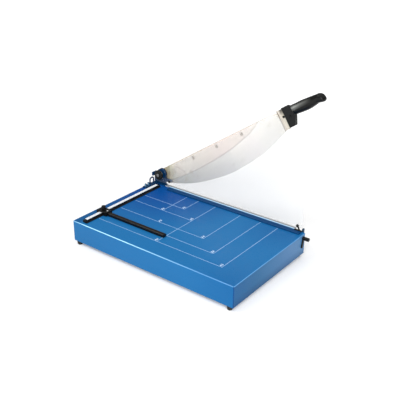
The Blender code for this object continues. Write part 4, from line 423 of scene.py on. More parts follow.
# Format lines: white ink screened on the painted bed, one L for each sheet size, with plain
# size marks in the corners. The ink lies 0.06 mm thick and lets a little blue through.
def marks(name, rectangles, low, high):
    """Thin flat bars: each row of the array is x, y, x, y in millimetres, from low to high.

    Eight corners per row come from the two ends of x, y and height, and six quads join them.
    """
    boxes = np.sort(np.asarray(rectangles, float).reshape(-1, 2, 2), axis=1)
    x, y = boxes[:, [0, 1, 1, 0], 0], boxes[:, [0, 0, 1, 1], 1]
    points = np.concatenate([spot(x, y, low), spot(x, y, high)], axis=1).reshape(-1, 3)
    six = np.array([[3, 2, 1, 0], [4, 5, 6, 7], [0, 1, 5, 4], [1, 2, 6, 5], [2, 3, 7, 6],
                    [3, 0, 4, 7]])
    faces = (8 * np.arange(len(boxes))[:, None, None] + six).reshape(-1, 4)
    mesh = bpy.data.meshes.new(name)
    mesh.from_pydata(points.tolist(), [], faces.tolist())
    piece = bpy.data.objects.new(name, mesh)
    bpy.context.scene.collection.objects.link(piece)
    return piece


def words(name, lines, high, weight=0.0):
    """Flat letters as one mesh: each line is its text, x, y and size, in millimetres.

    The letters are filled as a flat curve, turned into triangles and moved to their place, at
    one height. The weight widens every stroke.
    """
    points, faces, count = [], [], 0
    for text, x, y, size in lines:
        curve = bpy.data.curves.new(name, "FONT")
        curve.body = text
        curve.size = size
        curve.align_x = "CENTER"
        curve.align_y = "CENTER"
        curve.resolution_u = 3
        curve.offset = weight
        carrier = bpy.data.objects.new(name, curve)
        mesh = carrier.to_mesh()
        flat = np.zeros(len(mesh.vertices) * 3)
        mesh.vertices.foreach_get("co", flat)
        flat = flat.reshape(-1, 3)
        points.append(spot(x + flat[:, 0], y + flat[:, 1], high))
        faces += [[count + corner for corner in face.vertices] for face in mesh.polygons]
        count += len(flat)
        carrier.to_mesh_clear()
        bpy.data.objects.remove(carrier)
        bpy.data.curves.remove(curve)
    mesh = bpy.data.meshes.new(name)
    mesh.from_pydata(np.concatenate(points).tolist(), [], faces)
    piece = bpy.data.objects.new(name, mesh)
    bpy.context.scene.collection.objects.link(piece)
    return piece


formats = ((105, 148), (148, 105), (148, 210), (210, 148), (210, 297), (297, 210), (257, 364),
           (297, 420))
along_x = {105: 148, 148: 210, 210: 297, 257: 364, 297: 420}
along_y = {105: 148, 148: 105, 210: 297, 297: 210, 364: 257, 420: 297}
half_line, rear_end, right_end = 0.55, 1.0, -37.0
columns = [(-x - half_line, rear_end, -x + half_line, -down - half_line)
           for x, down in along_x.items()]
rows = [(-across - half_line, -y - half_line, right_end, -y + half_line)
        for y, across in along_y.items()]
line_ink = finish("line_ink", ((0.32, 0.53, 0.80), (0.42, 0.62, 0.88)), (0.40, 0.55), broad=90.0,
                  fine=1800.0, depth=0.000004)[0]
settle(marks("format_columns", columns, 0.0, 0.06), "base", line_ink, "white_print")
settle(marks("format_rows", rows, 0.0, 0.075), "base", line_ink, "white_print")
sizes = ("A6", "A6", "A5", "A5", "A4", "A4", "B4", "A3")
label_in, label_up, label_size = 7.5, 6.5, 10.0
labels = [(text, label_in - across, label_up - down, label_size)
          for text, (across, down) in zip(sizes, formats)]
size_ink = finish("size_ink", ((0.52, 0.70, 0.92), (0.64, 0.80, 0.98)), (0.40, 0.55), broad=90.0,
                  fine=1800.0, depth=0.000004)[0]
settle(words("format_sizes", labels, 0.09, 0.22), "base", size_ink, "white_print")


# Fence rail: an anodised aluminium extrusion across the rear of the bed, screwed from below,
# with a low lip in front that guides the sheet. Fine drawing lines run along it.
anodised = finish("black_anodised", ((0.006, 0.006, 0.007), (0.013, 0.013, 0.014)), (0.32, 0.46),
                  0.25, broad=40.0, fine=1600.0, stretch=(0.03, 1, 1), depth=0.000006)[0]
settle(broken("fence_rail", 0.25), "base", anodised, "black_anodised", "fence_rail")
black_plastic = finish("black_plastic", ((0.0030, 0.0036, 0.0038), (0.0065, 0.0068, 0.0066)),
                       (0.28, 0.38), broad=120.0, fine=2200.0, depth=0.00002, specular=0.2)[0]
for cap in ("rail_cap_left", "rail_cap_right"):
    settle(broken(cap, 0.35), "base", black_plastic, "black_plastic", cap)
for number, screw_x in enumerate((-300, -60), 1):
    head = turned(f"rail_fixing_{number}", (screw_x, 13.5, -1.8), "Z",
                  [[0.2, 6.5], [2.0, 6.5], [2.0, 0.0], [4.0, 0.0], [4.0, -1.3], [3.4, -2.1],
                   [2.0, -2.6], [0.2, -2.6]], 40)
    settle(head, "base", zinc, "zinc_steel", f"rail_screw_{number}")


# Scale strip: a white printed plastic strip pressed onto the rail, with black millimetre
# ticks counted from the cut and plain numbers every 2 cm.
strip_white = finish("strip_white", ((0.76, 0.80, 0.84), (0.84, 0.87, 0.90)), (0.35, 0.50),
                     coat=0.2, broad=60.0, fine=1500.0, depth=0.000006)[0]
settle(broken("scale_strip", 0.15), "base", strip_white, "white_print", "scale_strip")
scale_ink = finish("scale_ink", ((0.02, 0.02, 0.024), (0.035, 0.035, 0.04)), (0.40, 0.55),
                   broad=200.0, fine=1800.0, depth=0.000003)[0]
strip_top, tick_foot, half_tick, ink = 8.4, 8.9, 0.09, 0.03
at = -np.arange(40, 332, 1.0)
long = np.where(at % 10 == 0, 3.0, np.where(at % 5 == 0, 2.1, 1.3))
ticks = np.stack([at - half_tick, np.full_like(at, tick_foot), at + half_tick, tick_foot + long],
                 -1)
settle(marks("scale_ticks", ticks, strip_top, strip_top + ink), "base", scale_ink, "white_print")
numbers = [(str(value), -10.0 * value, 15.2, 3.6) for value in range(4, 34, 2)]
settle(words("scale_numbers", numbers, strip_top + ink), "base", scale_ink, "white_print")


# Back stop: a moulded carriage hooked over the rail, with a drawn aluminium bar that stands
# on the bed and squares the sheet. A small screw holds the bar, and a plug closes its end.
settle(broken("stop_carriage", 0.45), "stop", black_plastic, "black_plastic", "stop_carriage")
bar_black, tree, shader, _ = finish(
    "bar_anodised", ((0.003, 0.003, 0.003), (0.007, 0.006, 0.006)), (0.26, 0.40), 0.2, broad=30.0,
    fine=1600.0, stretch=(1, 0.03, 1), depth=0.000008, specular=0.3)
# Painted highlight: faces turned upward get a warm dark brown.
top_face_highlight = ramp(tree, facing_of(tree)[2], ((0.55, 0.0), (0.95, 1.0)))
tree.links.new(blend(tree, top_face_highlight, tree.nodes["tones"].outputs[2], (0.016, 0.012, 0.009)),
               shader.inputs["Base Color"])
settle(broken("stop_bar", 0.25), "stop", bar_black, "black_anodised", "stop_bar")
settle(broken("bar_cap", 0.35), "stop", black_plastic, "black_plastic", "bar_cap")
stop_x = -267.0
head = turned("bar_fixing", (stop_x, -2.5, 13.0), "Z",
              [[0.2, 1.8], [1.2, 1.7], [2.1, 1.3], [2.7, 0.7], [2.9, 0.0], [1.5, 0.0],
               [1.5, -8.4], [0.2, -8.4]], 40)
settle(head, "stop", zinc, "black_plastic", "bar_screw")


# Lock knob: a moulded knob with twelve flutes on a short shank. Turning it presses the shank
# on the rail and locks the stop. The flutes are a wave on the radius, flat at both ends.
flutes, flute_depth = 12, 0.55
knob_profile = np.concatenate([[[0.3, 10.6], [3.6, 10.7]], bend((4.9, 9.6), 1.2, 90, 0, 5),
                               [[6.1, 8.6], [6.1, 2.0]], bend((5.3, 2.0), 0.8, 0, -90, 3),
                               [[4.2, 1.2], [4.2, 0.1], [2.5, 0.0], [2.5, -4.0], [0.3, -4.0]]])
turn = np.linspace(0, 2 * math.pi, 144, endpoint=False)
radius, along = knob_profile[:, 0, None], knob_profile[:, 1, None]
depth = flute_depth * np.clip((radius - 4.4) / 1.6, 0, 1) * np.clip((8.9 - along) / 0.8, 0, 1)
radius = radius - depth * (0.5 - 0.5 * np.cos(flutes * turn)) ** 0.7
rings = np.stack([stop_x + radius * np.cos(turn), 12.5 + radius * np.sin(turn),
                  13.0 + np.broadcast_to(along, radius.shape)], -1)
knob = skin("stop_knob", spot(rings[..., 0], rings[..., 1], rings[..., 2]), 50)
settle(knob, "knob", black_plastic, "black_plastic", "lock_knob")


# Paper clamp: a drawn strip along the cut with a raised bead, painted in a darker blue than
# the bed. A painted highlight makes the top of the bead pale blue.
clamp_blue, tree, shader, place = finish(
    "clamp_blue", ((0.0005, 0.042, 0.140), (0.002, 0.052, 0.165)), (0.30, 0.40), specular=0.10,
    broad=20.0, fine=1200.0, stretch=(1, 0.05, 1), depth=0.000006)
# Painted highlight: the faces above 5 mm, on the bead, turn pale blue.
bead_highlight = spread(tree, parts_of(tree, place)[2], bed_z + 0.0050, bed_z + 0.0057)
tree.links.new(blend(tree, bead_highlight, tree.nodes["tones"].outputs[2], (0.46, 0.74, 1.0)),
               shader.inputs["Base Color"])
settle(broken("clamp_bar", 0.25), "clamp", clamp_blue, "clamp_blue", "clamp_bar")


# Clamp guides: two steel pins under the strip run through the bed, each with a washer at its
# foot. A compression spring between washer and bed pulls the strip down on the sheet.
for name, pin_y in (("rear", -48), ("front", -440)):
    pin = turned(f"clamp_pin_{name}", (-27, pin_y, -40), "Z",
                 [[0.2, 43.0], [3.0, 43.0], [3.0, 2.2], [4.3, 2.2], [4.6, 1.9], [4.6, 0.3],
                  [4.3, 0.0], [0.2, 0.0]], 48)
    settle(pin, "clamp", zinc, "zinc_steel", f"guide_pin_{name}")
    settle(broken(f"retainer_{name}", 0.15), "clamp", zinc, "zinc_steel", f"retainer_{name}")


# Springs: hard-drawn wire, dark from its heat treatment, with faint drawing marks. The two
# under the bed shorten while the clamp is lifted; the third loads the pivot.
def wire(name, line, radius):
    """A round wire along a line of points in millimetres.

    At each point the direction is the difference of its neighbours. Two unit vectors square
    to it, one of them as level as it can be, carry a circle of the wire's radius.
    """
    line = np.asarray(line, float)
    ahead = np.gradient(line, axis=0)
    ahead /= np.linalg.norm(ahead, axis=1, keepdims=True)
    level = np.cross(ahead, (0.013, 0.021, 1.0))
    level /= np.linalg.norm(level, axis=1, keepdims=True)
    rise = np.cross(level, ahead)
    turn = np.linspace(0, 2 * math.pi, 16, endpoint=False)
    rings = (line[:, None] + radius * (np.cos(turn)[None, :, None] * level[:, None]
                                       + np.sin(turn)[None, :, None] * rise[:, None]))
    return skin(name, spot(rings[..., 0], rings[..., 1], rings[..., 2]), 50)


spring_steel = finish("spring_steel", ((0.16, 0.16, 0.17), (0.27, 0.27, 0.28)), (0.26, 0.42), 1.0,
                      broad=250.0, fine=2400.0, depth=0.000008)[0]
for spring in ("clamp_spring_rear", "clamp_spring_front", "pressure_spring"):
    coil = broken(spring, 0, 60)
    body = frame["nodes"][spring].parent.name.split(":")[1]
    settle(coil, body, spring_steel, "spring_steel", spring)
    if spring != "pressure_spring":
        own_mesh(coil)


# End block: a black moulding let into the front end of the strip, with a leaning stalk and a
# ball that lift the strip by hand.
settle(broken("clamp_end_block", 0.3), "clamp", black_plastic, "black_plastic", "clamp_end_block")
stalk = wire("hand_stalk", [(-20.75, -476.6, 4.3), (-20.75, -476.6, 6.7), (-20.75, -476.4, 8.0),
                            (-20.75, -475.9, 9.2), (-20.75, -471.2, 16.3)], 2.2)
settle(stalk, "clamp", black_plastic, "black_plastic", "lift_stalk")
ball_high = bend((0, 0), 4.2, 88, -88, 24)
ball = turned("hand_ball", (-20.75, -470.6, 17.1), "Z", ball_high, 48, 60)
settle(ball, "clamp", black_plastic, "black_plastic", "lift_ball")


# Front lever: a flat arm on a steel shaft that passes through the front wall in a moulded
# bush, with a round finger stub. A cam on the shaft lifts the clamp's follower.
for part in ("lift_cam", "cam_shaft"):
    settle(broken(part, 0.2, 40), "lever", zinc, "zinc_steel", part)
settle(broken("lever_bush", 0.3, 40), "base", black_plastic, "black_plastic", "lever_bush")
settle(broken("cam_lever", 0.4, 40), "lever", black_plastic, "black_plastic", "cam_lever")
stub = turned("finger_stub", (-27, -497.1, -10.5), "Y",
              np.concatenate([[[0.3, -15.0], [3.2, -15.0]], bend((3.7, -13.5), 1.5, -90, 0, 5),
                              [[5.2, -0.5], [4.7, 0.0], [3.3, 0.0], [3.3, -7.8], [0.3, -7.8]]]), 56)
settle(stub, "lever", black_plastic, "black_plastic", "lever_stub")


# Pivot bracket: a steel casting bolted to the rear corner and to the side wall, in the same
# blue paint, made darker as painted shade. Its ear carries the pivot, and its web ties the ear
# to the foot plate. A painted highlight lies along its edges that face front or rear.
cast_paint, tree, shader, _ = finish(
    "cast_paint", ((0.001, 0.024, 0.080), (0.004, 0.044, 0.130)), (0.22, 0.32), broad=60.0,
    fine=700.0, depth=0.00002, specular=0.3)
# Painted highlight: a pale band where the surface turns between its side and its front or rear.
face_x, face_y, _ = facing_of(tree)
highlight_edge_band = sum_of(tree, "ABSOLUTE", sum_of(tree, "MULTIPLY", face_x, face_y))
edge_highlight = ramp(tree, highlight_edge_band, ((0.15, 0.0), (0.40, 0.8)))
tree.links.new(blend(tree, edge_highlight, tree.nodes["tones"].outputs[2], (0.20, 0.40, 0.56)),
               shader.inputs["Base Color"])
settle(broken("pivot_bracket", 0.8), "base", cast_paint, "blue_paint", "pivot_bracket")
for number, bolt_x in enumerate((-45.5, -58.5), 1):
    hexagon = turned(f"foot_bolt_{number}", (bolt_x, 40.5, 3.6), "Z",
                     [[0.3, 7.2], [3.0, 7.2], [3.4, 6.8], [3.4, 1.2], [0.3, 1.2]], 6, 20)
    flange = turned(f"foot_bolt_flange_{number}", (bolt_x, 40.5, 3.6), "Z",
                    [[0.3, 1.3], [3.4, 1.3], [4.1, 1.0], [4.4, 0.5], [4.4, 0.0], [2.5, 0.0],
                     [2.5, -12.0], [0.3, -12.0]], 40)
    settle(flange, "base", cast_paint, "spring_steel")
    settle(hexagon, "base", cast_paint, "spring_steel", f"bracket_bolt_{number}")


# Pivot: a dark steel bolt through the ear and the blade, a fibre washer between them, and on
# the left a spring and a scalloped hub whose tension sets how freely the blade falls.
pivot_y, pivot_z = 20.0, 33.0
settle(broken("pivot_bolt", 0.35, 40), "base", spring_steel, "zinc_steel", "pivot_bolt")
settle(broken("thrust_washer", 0.2, 40), "base", black_plastic, "black_plastic", "thrust_washer")
turn = np.linspace(0, 2 * math.pi, 160, endpoint=False)
hub_profile = np.concatenate([[[5.3, 5.6], [13.4, 5.6]], bend((13.8, 4.4), 1.2, 90, 0, 5),
                              bend((13.8, 1.2), 1.2, 0, -90, 5), [[13.4, 0.0], [5.3, 0.0]],
                              [[5.3, 5.6]]])
radius, along = hub_profile[:, 0, None], hub_profile[:, 1, None]
bite = 1.4 * np.clip((radius - 12.0) / 1.5, 0, 1) * np.clip(np.cos(8 * turn) * 2.2 - 1.2, 0, 1)
radius = radius - bite
rings = np.stack([np.broadcast_to(along, radius.shape) - 23.3, pivot_y + radius * np.cos(turn),
                  pivot_z + radius * np.sin(turn)], -1)
hub = skin("tension_hub", spot(rings[..., 0], rings[..., 1], rings[..., 2]), 50, False)
settle(hub, "base", black_plastic, "black_plastic", "pivot_hub")


# Rear hoop: a piece of 4.4 mm rod bent to a U, its legs pushed through the foot plate and the
# bed at the rear edge. It is coated dark blue-black.
hoop_coat = finish("hoop_coat", ((0.004, 0.022, 0.080), (0.008, 0.036, 0.120)), (0.24, 0.36),
                   coat=0.1, broad=200.0, fine=1800.0, depth=0.00001)[0]
left_leg, right_leg, hoop_y, corner_z, rod = -35.0, -19.0, 43.0, 15.0, 2.2
line = np.concatenate([[[left_leg, -8.0], [left_leg, -2.0], [left_leg, 6.0], [left_leg, 14.0]],
                       bend((left_leg + 6, corner_z), 6, 180, 90, 8),
                       bend((right_leg - 6, corner_z), 6, 90, 0, 8),
                       [[right_leg, 14.0], [right_leg, 6.0], [right_leg, -2.0], [right_leg, -8.0]]])
hoop = wire("rear_wire_hoop", np.stack([line[:, 0], np.full(len(line), hoop_y), line[:, 1]], -1),
            rod)
settle(hoop, "base", hoop_coat, "spring_steel", "rear_hoop")


# Blade: 4 mm tool steel, hollow ground along the cutting edge on its inner face. The upper
# part keeps a warm straw tint with darker stains near the pivot; the ground part is cool grey
# near the heel and bright towards the tip. A painted shadow line follows the edge of the grind,
# and painted shade darkens the spine.
raised = math.radians(33.8)
spine_z, blade_length, blade_depth = 11.9, 486.0, 98.0
along_blade = Vector((0, -math.cos(raised), math.sin(raised)))
up_blade = Vector((0, math.sin(raised), math.cos(raised)))


def blade_spot(x, reach, drop):
    """Reach along the blade from the pivot and drop below its spine, to metres in the room.

    The blade's own level and upright axes turn about the pivot by the raised angle.
    """
    y, z = -np.asarray(reach, float), spine_z - np.asarray(drop, float)
    return spot(x, pivot_y + y * math.cos(raised) + z * math.sin(raised),
                pivot_z - y * math.sin(raised) + z * math.cos(raised))


blade_steel, tree, shader, place = finish(
    "blade_steel", ((0.92, 0.90, 0.86), (1.0, 0.99, 0.965)), (0.34, 0.46), 0.4, broad=75.0,
    fine=900.0, stretch=(1, 1, 0.06), depth=0.000006)
pivot = Vector(spot(0, pivot_y, pivot_z).tolist())


def along_line(tree, place, direction, length):
    """Distance from the pivot along a direction, as a share of a length in millimetres."""
    dot = tree.nodes.new("ShaderNodeVectorMath")
    dot.operation = "DOT_PRODUCT"
    dot.inputs[1].default_value = direction * (1000.0 / length)
    tree.links.new(place, dot.inputs[0])
    return sum_of(tree, "SUBTRACT", dot.outputs["Value"], pivot.dot(direction) * 1000.0 / length)


reach_share = along_line(tree, place, along_blade, blade_length)
rise = along_line(tree, place, up_blade, blade_depth)
drop_share = sum_of(tree, "SUBTRACT", spine_z / blade_depth, rise)
upper_tone = ramp(tree, reach_share, (
    (0.00, 0.46, 0.38, 0.24), (0.035, 0.70, 0.63, 0.45), (0.08, 0.67, 0.66, 0.49),
    (0.134, 0.85, 0.75, 0.62), (0.185, 0.93, 0.85, 0.73), (0.247, 0.92, 0.84, 0.73),
    (0.319, 0.87, 0.78, 0.67), (0.391, 0.91, 0.80, 0.70), (0.545, 0.95, 0.80, 0.73),
    (0.617, 0.93, 0.81, 0.73), (0.679, 0.90, 0.79, 0.72), (0.761, 0.88, 0.79, 0.73),
    (0.844, 0.96, 0.90, 0.84), (0.926, 0.87, 0.82, 0.77), (1.00, 0.84, 0.80, 0.74)))
lower_tone = ramp(tree, reach_share, (
    (0.03, 0.32, 0.32, 0.25), (0.082, 0.45, 0.45, 0.39), (0.134, 0.49, 0.50, 0.43),
    (0.185, 0.57, 0.58, 0.48), (0.247, 0.66, 0.64, 0.57), (0.319, 0.75, 0.71, 0.63),
    (0.391, 0.78, 0.74, 0.67), (0.545, 0.87, 0.83, 0.79), (0.617, 0.96, 0.92, 0.86),
    (0.761, 0.97, 0.92, 0.90), (0.844, 0.94, 0.92, 0.88), (0.926, 0.88, 0.86, 0.83),
    (0.977, 0.85, 0.83, 0.78), (1.00, 0.66, 0.62, 0.56)))
shares_along = (0.027, 0.203, 0.364, 0.522, 0.601, 0.759, 0.810, 0.868)
shares_down = (0.440, 0.490, 0.480, 0.418, 0.367, 0.204, 0.102, -0.050)
relief_line = ramp(tree, reach_share, [(a, d + 0.1) for a, d in zip(shares_along, shares_down)])
below = sum_of(tree, "SUBTRACT", sum_of(tree, "ADD", drop_share, 0.1), relief_line)
both = blend(tree, spread(tree, below, -0.008, 0.012, way="SMOOTHSTEP"), upper_tone, lower_tone)
# Painted shadow along the step of the grind, with a lighter band just below it.
relief_shadow_band = ramp(tree, sum_of(tree, "ADD", below, 0.5), (
    (0.460, 1.0), (0.488, 0.70, 0.69, 0.67), (0.506, 0.74, 0.74, 0.73), (0.530, 1.08),
    (0.600, 1.03), (0.70, 1.0), (1.00, 0.92, 0.92, 0.93)))
both = blend(tree, 1.0, both, relief_shadow_band, "MULTIPLY")
# Painted shade on the spine: the top millimetre of the blade is darkened.
spine_shade = ramp(tree, sum_of(tree, "ADD", drop_share, 0.1), ((0.102, 0.42, 0.40, 0.36), (0.114, 1.0)))
both = blend(tree, 1.0, both, spine_shade, "MULTIPLY")
stain = tree.nodes.new("ShaderNodeTexNoise")
stain.inputs["Scale"].default_value = 70.0
stain.inputs["Detail"].default_value = 4.0
tree.links.new(place, stain.inputs["Vector"])
heel = spread(tree, reach_share, 0.34, 0.0, 0.0, 0.22)
stain_mask = spread(tree, sum_of(tree, "ADD", stain.outputs["Fac"], heel), 0.62, 0.80)
both = blend(tree, sum_of(tree, "MULTIPLY", stain_mask, 0.55), both, (0.42, 0.32, 0.19))
first_screw, screw_step, screw_drop = 143.0, 100.5, 11.0
period = screw_step / blade_length
near = sum_of(tree, "WRAP", sum_of(tree, "SUBTRACT", reach_share, first_screw / blade_length),
              period / 2, -period / 2)
side = sum_of(tree, "MULTIPLY", near, blade_length)
rise_gap = sum_of(tree, "SUBTRACT", sum_of(tree, "MULTIPLY", drop_share, blade_depth), screw_drop)
ring = sum_of(tree, "SQRT", sum_of(tree, "ADD", sum_of(tree, "MULTIPLY", side, side),
                                   sum_of(tree, "MULTIPLY", rise_gap, rise_gap)))
halo = spread(tree, ring, 9.0, 3.0, 0.0, 0.6)
within = sum_of(tree, "MULTIPLY", sum_of(tree, "GREATER_THAN", reach_share, 0.2),
                sum_of(tree, "LESS_THAN", reach_share, 0.8))
both = blend(tree, sum_of(tree, "MULTIPLY", halo, within), both, (0.45, 0.36, 0.26))
tree.links.new(blend(tree, 1.0, both, tree.nodes["tones"].outputs[2], "MULTIPLY"),
               shader.inputs["Base Color"])
settle(broken("blade", 0.12), "blade_assembly", blade_steel, "blade_steel", "blade")
settle(broken("blade_arm", 0.4, 40), "blade_assembly", zinc, "zinc_steel", "blade_arm")
screw_brown = finish("browned_steel", ((0.20, 0.14, 0.075), (0.34, 0.25, 0.15)), (0.45, 0.65), 0.1,
                     broad=400.0, fine=2400.0, depth=0.000008)[0]
for number in (1, 2, 3):
    settle(broken(f"blade_screw_{number}", 0.15, 40), "blade_assembly", screw_brown,
           "spring_steel", f"blade_screw_{number}")


# End plate and handle bracket: a satin steel plate closes the blade's tip, and a moulded
# bracket grips the tang. Two dark bolts go through both.
satin, tree, shader, place = finish(
    "satin_plate", ((0.66, 0.60, 0.51), (0.80, 0.75, 0.68)), (0.34, 0.46), 0.5, broad=150.0,
    fine=1100.0, stretch=(1, 1, 0.05), depth=0.000008)
plate_start, plate_width, plate_depth = 481.0, 18.0, 60.0
over_plate = sum_of(tree, "SUBTRACT", along_line(tree, place, along_blade, plate_width),
                    plate_start / plate_width)
# Darker along the left edge, with one darker streak and a darker right end.
plate_streaks = ramp(tree, over_plate, (
    (0.00, 0.20, 0.17, 0.15), (0.11, 0.22, 0.19, 0.16), (0.17, 0.86, 0.84, 0.82), (0.24, 1.0),
    (0.34, 0.80, 0.79, 0.77), (0.42, 1.0), (0.90, 0.80, 0.82, 0.78), (1.0, 0.60, 0.62, 0.58)))
up_plate = along_line(tree, place, up_blade, plate_depth)
# Painted shade: the top of the plate's right half darkens under the bracket.
shaded = ramp(tree, sum_of(tree, "ADD", up_plate, 0.8), (
    (0.45, 1.0), (0.72, 0.90, 0.88, 0.85), (0.92, 0.30, 0.29, 0.28), (1.0, 0.20)))
right_half = ramp(tree, over_plate, ((0.30, 0.0), (0.60, 1.0)))
over_all = blend(tree, 1.0, blend(tree, right_half, plate_streaks, shaded, "MULTIPLY"),
                 tree.nodes["tones"].outputs[2], "MULTIPLY")
tree.links.new(over_all, shader.inputs["Base Color"])
settle(broken("end_plate", 0.3), "blade_assembly", satin, "satin_steel", "end_plate")
settle(broken("handle_bracket", 0.8), "blade_assembly", black_plastic, "black_plastic",
       "handle_bracket")
for bolt in ("handle_bolt", "plate_bolt"):
    settle(broken(bolt, 0.15, 40), "blade_assembly", black_plastic, "black_plastic", bolt)


# Grip: a moulded grip screwed on the bracket, swollen in the middle, with a hook at its end
# that keeps the hand from sliding off. Its skin has the fine grain of an eroded mould.
shares = np.array([0.0, 0.04, 0.14, 0.30, 0.50, 0.68, 0.80, 0.90, 0.965, 1.0])
tops = np.array([0.33, 0.33, 0.32, 0.325, 0.29, 0.25, 0.22, 0.18, 0.02, -0.20])
lows = np.array([-0.36, -0.44, -0.48, -0.52, -0.53, -0.47, -0.42, -0.48, -0.48, -0.40])
wides = np.array([0.70, 0.84, 0.92, 0.98, 1.00, 0.96, 0.92, 0.90, 0.78, 0.40])


def through(values, count):
    """A smooth curve through values at the grip's stations, by cubic Hermite pieces.

    Each station's slope is the mean slope to its two neighbours; the places are closer
    together near both ends of the grip.
    """
    place = 0.5 - 0.5 * np.cos(np.linspace(0, math.pi, count))
    slope = np.gradient(values, shares)
    part = np.clip(np.searchsorted(shares, place, side="right") - 1, 0, len(shares) - 2)
    width = shares[part + 1] - shares[part]
    t = (place - shares[part]) / width
    return ((2 * t ** 3 - 3 * t ** 2 + 1) * values[part] + (t ** 3 - 2 * t ** 2 + t) * width
            * slope[part] + (3 * t ** 2 - 2 * t ** 3) * values[part + 1]
            + (t ** 3 - t ** 2) * width * slope[part + 1])


top, low, wide = (through(values, 70)[:, None] for values in (tops, lows, wides))
grip_start, grip_length, grip_half, grip_height = 529.3, 97.6, 13.5, 35.3
grip_x, grip_drop = 2.3, 11.3
reach = grip_start + grip_length * (0.5 - 0.5 * np.cos(np.linspace(0, math.pi, 70)))[:, None]
turn = np.linspace(0, 2 * math.pi, 64, endpoint=False)
power = 2 / 2.5
across = np.sign(np.cos(turn)) * np.abs(np.cos(turn)) ** power
upright = np.sign(np.sin(turn)) * np.abs(np.sin(turn)) ** power
side = grip_x + grip_half * wide * across
drop = grip_drop - grip_height * ((top + low) / 2 + (top - low) / 2 * upright)
grip = skin("moulded_grip", blade_spot(side, np.broadcast_to(reach, side.shape), drop), 60)
grip_black, tree, shader, place = finish(
    "grip_black", ((0.0025, 0.0028, 0.0025), (0.0050, 0.0052, 0.0046)), (0.26, 0.36), broad=120.0,
    fine=2200.0, depth=0.000015, specular=0.2)
# Painted highlight: a pale grey band along the upper part of the grip's side, strongest near the
# bracket and gone by two thirds of its length.
highlight_length, highlight_depth = 98.0, 40.0
along_grip = sum_of(tree, "SUBTRACT", along_line(tree, place, along_blade, highlight_length),
                    grip_start / highlight_length)
down_grip = sum_of(tree, "SUBTRACT", spine_z / highlight_depth,
                   along_line(tree, place, up_blade, highlight_depth))
grip_highlight = ramp(tree, down_grip, ((0.05, 0.0), (0.12, 0.5), (0.19, 1.0), (0.27, 0.55), (0.42, 0.0)))
highlight_fading = ramp(tree, along_grip, ((0.0, 0.7), (0.10, 1.0), (0.30, 0.50), (0.68, 0.0)))
tree.links.new(blend(tree, blend(tree, 1.0, grip_highlight, highlight_fading, "MULTIPLY"),
                     tree.nodes["tones"].outputs[2], (0.30, 0.31, 0.29)),
               shader.inputs["Base Color"])
settle(grip, "blade_assembly", grip_black, "black_plastic", "grip")


# Guard: a sheet of clear plastic between clamp and blade, held by two screws on the bracket
# and a forked post at the front. It shows by its edges and a faint reflection.
clear, tree, shader, place = finish("clear_plastic", ((0.88, 0.885, 0.88), (0.915, 0.92, 0.915)),
                                    (0.06, 0.12), broad=8.0, fine=300.0, depth=0.000002,
                                    specular=0.3)
rim_light = tree.nodes.new("ShaderNodeLayerWeight")
rim_light.inputs["Blend"].default_value = 0.25
cover = spread(tree, rim_light.outputs["Facing"], 0.0, 1.0, 0.18, 0.45)
tab = spread(tree, parts_of(tree, place)[1], fence_y - 0.040, fence_y - 0.015, 1.0, 0.15)
tree.links.new(sum_of(tree, "MULTIPLY", cover, tab), shader.inputs["Alpha"])
settle(broken("guard_panel", 0.3, 40), "base", clear, "clear_plastic", "guard_panel")
for screw in ("guard_screw_front", "guard_screw_rear"):
    settle(broken(screw, 0.15, 40), "base", black_plastic, "black_plastic", screw)
post_grey = finish("post_grey", ((0.016, 0.045, 0.085), (0.030, 0.070, 0.115)), (0.30, 0.42),
                   broad=200.0, fine=1800.0, depth=0.00001, specular=0.3)[0]
settle(broken("guard_post", 0.4), "base", post_grey, "black_plastic", "guard_post")


# Floor: a plain pale sheet under the cutter that runs on to the horizon and takes the shadow.
# A faint glow, seen by the camera and in the pieces, grows with the distance and keeps it white.
floor_mesh = bpy.data.meshes.new("floor")
far = 30.0
floor_mesh.from_pydata([(-far, -far, 0), (far, -far, 0), (far, far, 0), (-far, far, 0)], [],
                       [(0, 1, 2, 3)])
floor = bpy.data.objects.new("floor", floor_mesh)
bpy.context.scene.collection.objects.link(floor)
paper = bpy.data.materials.new("floor_paper")
paper.use_nodes = True
tree = paper.node_tree
shader = tree.nodes["Principled BSDF"]
shader.inputs["Base Color"].default_value = (0.90, 0.90, 0.90, 1)
shader.inputs["Roughness"].default_value = 0.9
shader.inputs["Specular IOR Level"].default_value = 0.0
ray = tree.nodes.new("ShaderNodeLightPath").outputs
seen = sum_of(tree, "MAXIMUM", sum_of(tree, "MAXIMUM", ray["Is Camera Ray"], ray["Is Glossy Ray"]),
              ray["Is Transmission Ray"])
from_middle = tree.nodes.new("ShaderNodeVectorMath")
from_middle.operation = "LENGTH"
tree.links.new(tree.nodes.new("ShaderNodeTexCoord").outputs["Object"], from_middle.inputs[0])
farther = spread(tree, from_middle.outputs["Value"], 0.45, 1.6, 0.12, 0.50)
shader.inputs["Emission Color"].default_value = (1, 1, 1, 1)
tree.links.new(sum_of(tree, "MULTIPLY", seen, farther), shader.inputs["Emission Strength"])
floor_mesh.materials.append(paper)


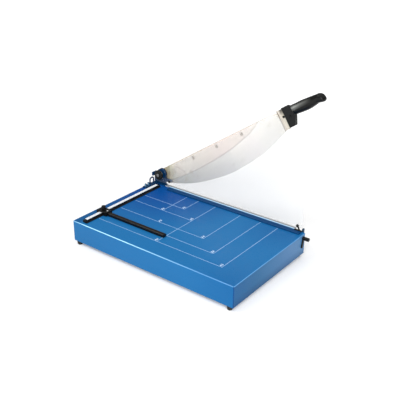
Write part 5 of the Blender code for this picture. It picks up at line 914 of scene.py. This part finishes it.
# Light: a soft room that is bright overhead and dim lower down, a broad lamp in front on the
# left that fills both walls, and a smaller one at the rear left that lights the folds. The
# room shows as white, and mirrors in the pieces as white for a few degrees over the floor.
world = bpy.data.worlds.new("room")
bpy.context.scene.world = world
world.use_nodes = True
tree = world.node_tree
room = tree.nodes["Background"]
room.inputs["Color"].default_value = (1, 1, 1, 1)
height = parts_of(tree, tree.nodes.new("ShaderNodeTexCoord").outputs["Generated"])[2]
level = spread(tree, height, 0.40, 1.0, 0.14, 1.30)
ray = tree.nodes.new("ShaderNodeLightPath").outputs
straight = sum_of(tree, "MAXIMUM", ray["Is Camera Ray"], ray["Is Transmission Ray"])
mirrored = sum_of(tree, "MULTIPLY", ray["Is Glossy Ray"], sum_of(tree, "LESS_THAN", height, 0.10))
white = sum_of(tree, "MAXIMUM", straight, mirrored)
dimmed = sum_of(tree, "MULTIPLY", level, sum_of(tree, "SUBTRACT", 1.0, white))
tree.links.new(sum_of(tree, "ADD", white, dimmed), room.inputs["Strength"])


def lamp(name, place, target, size, power):
    """A square area lamp at a place, its face towards the target, in metres and watts."""
    light = bpy.data.lights.new(name, "AREA")
    light.shape = "SQUARE"
    light.size = size
    light.energy = power
    holder = bpy.data.objects.new(name, light)
    bpy.context.scene.collection.objects.link(holder)
    holder.location = place
    aim = Vector(target) - Vector(place)
    holder.rotation_euler = aim.to_track_quat("-Z", "Y").to_euler()


lamp("front_lamp", (-1.8, -1.4, 1.3), (0, 0, 0.1), 1.6, 54)
lamp("rear_lamp", (-1.25, 1.15, 1.95), (0, 0, 0.05), 0.7, 14)


# Camera: it looks down at the front left corner from about 1.9 m, with a slightly long lens.
# The angles are those at which the format lines and the bed's corners match the photograph.
azimuth, elevation, roll = (math.radians(angle) for angle in (-52.82, 25.56, 0.59))
back = Vector((math.sin(azimuth) * math.cos(elevation), -math.cos(azimuth) * math.cos(elevation),
               math.sin(elevation)))
level_right = Vector((math.cos(azimuth), math.sin(azimuth), 0))
level_up = back.cross(level_right)
right = math.cos(roll) * level_right + math.sin(roll) * level_up
up = -math.sin(roll) * level_right + math.cos(roll) * level_up
lens = bpy.data.cameras.new("camera")
lens.lens = 59.85
lens.sensor_width = 36
camera = bpy.data.objects.new("camera", lens)
bpy.context.scene.collection.objects.link(camera)
turned_to = Matrix((right, up, back)).transposed().to_4x4()
camera.matrix_world = Matrix.Translation((-1.27445, -0.987, 0.9204)) @ turned_to
bpy.context.scene.camera = camera
bpy.context.scene.view_settings.view_transform = "Standard"

bpy.context.view_layer.update()
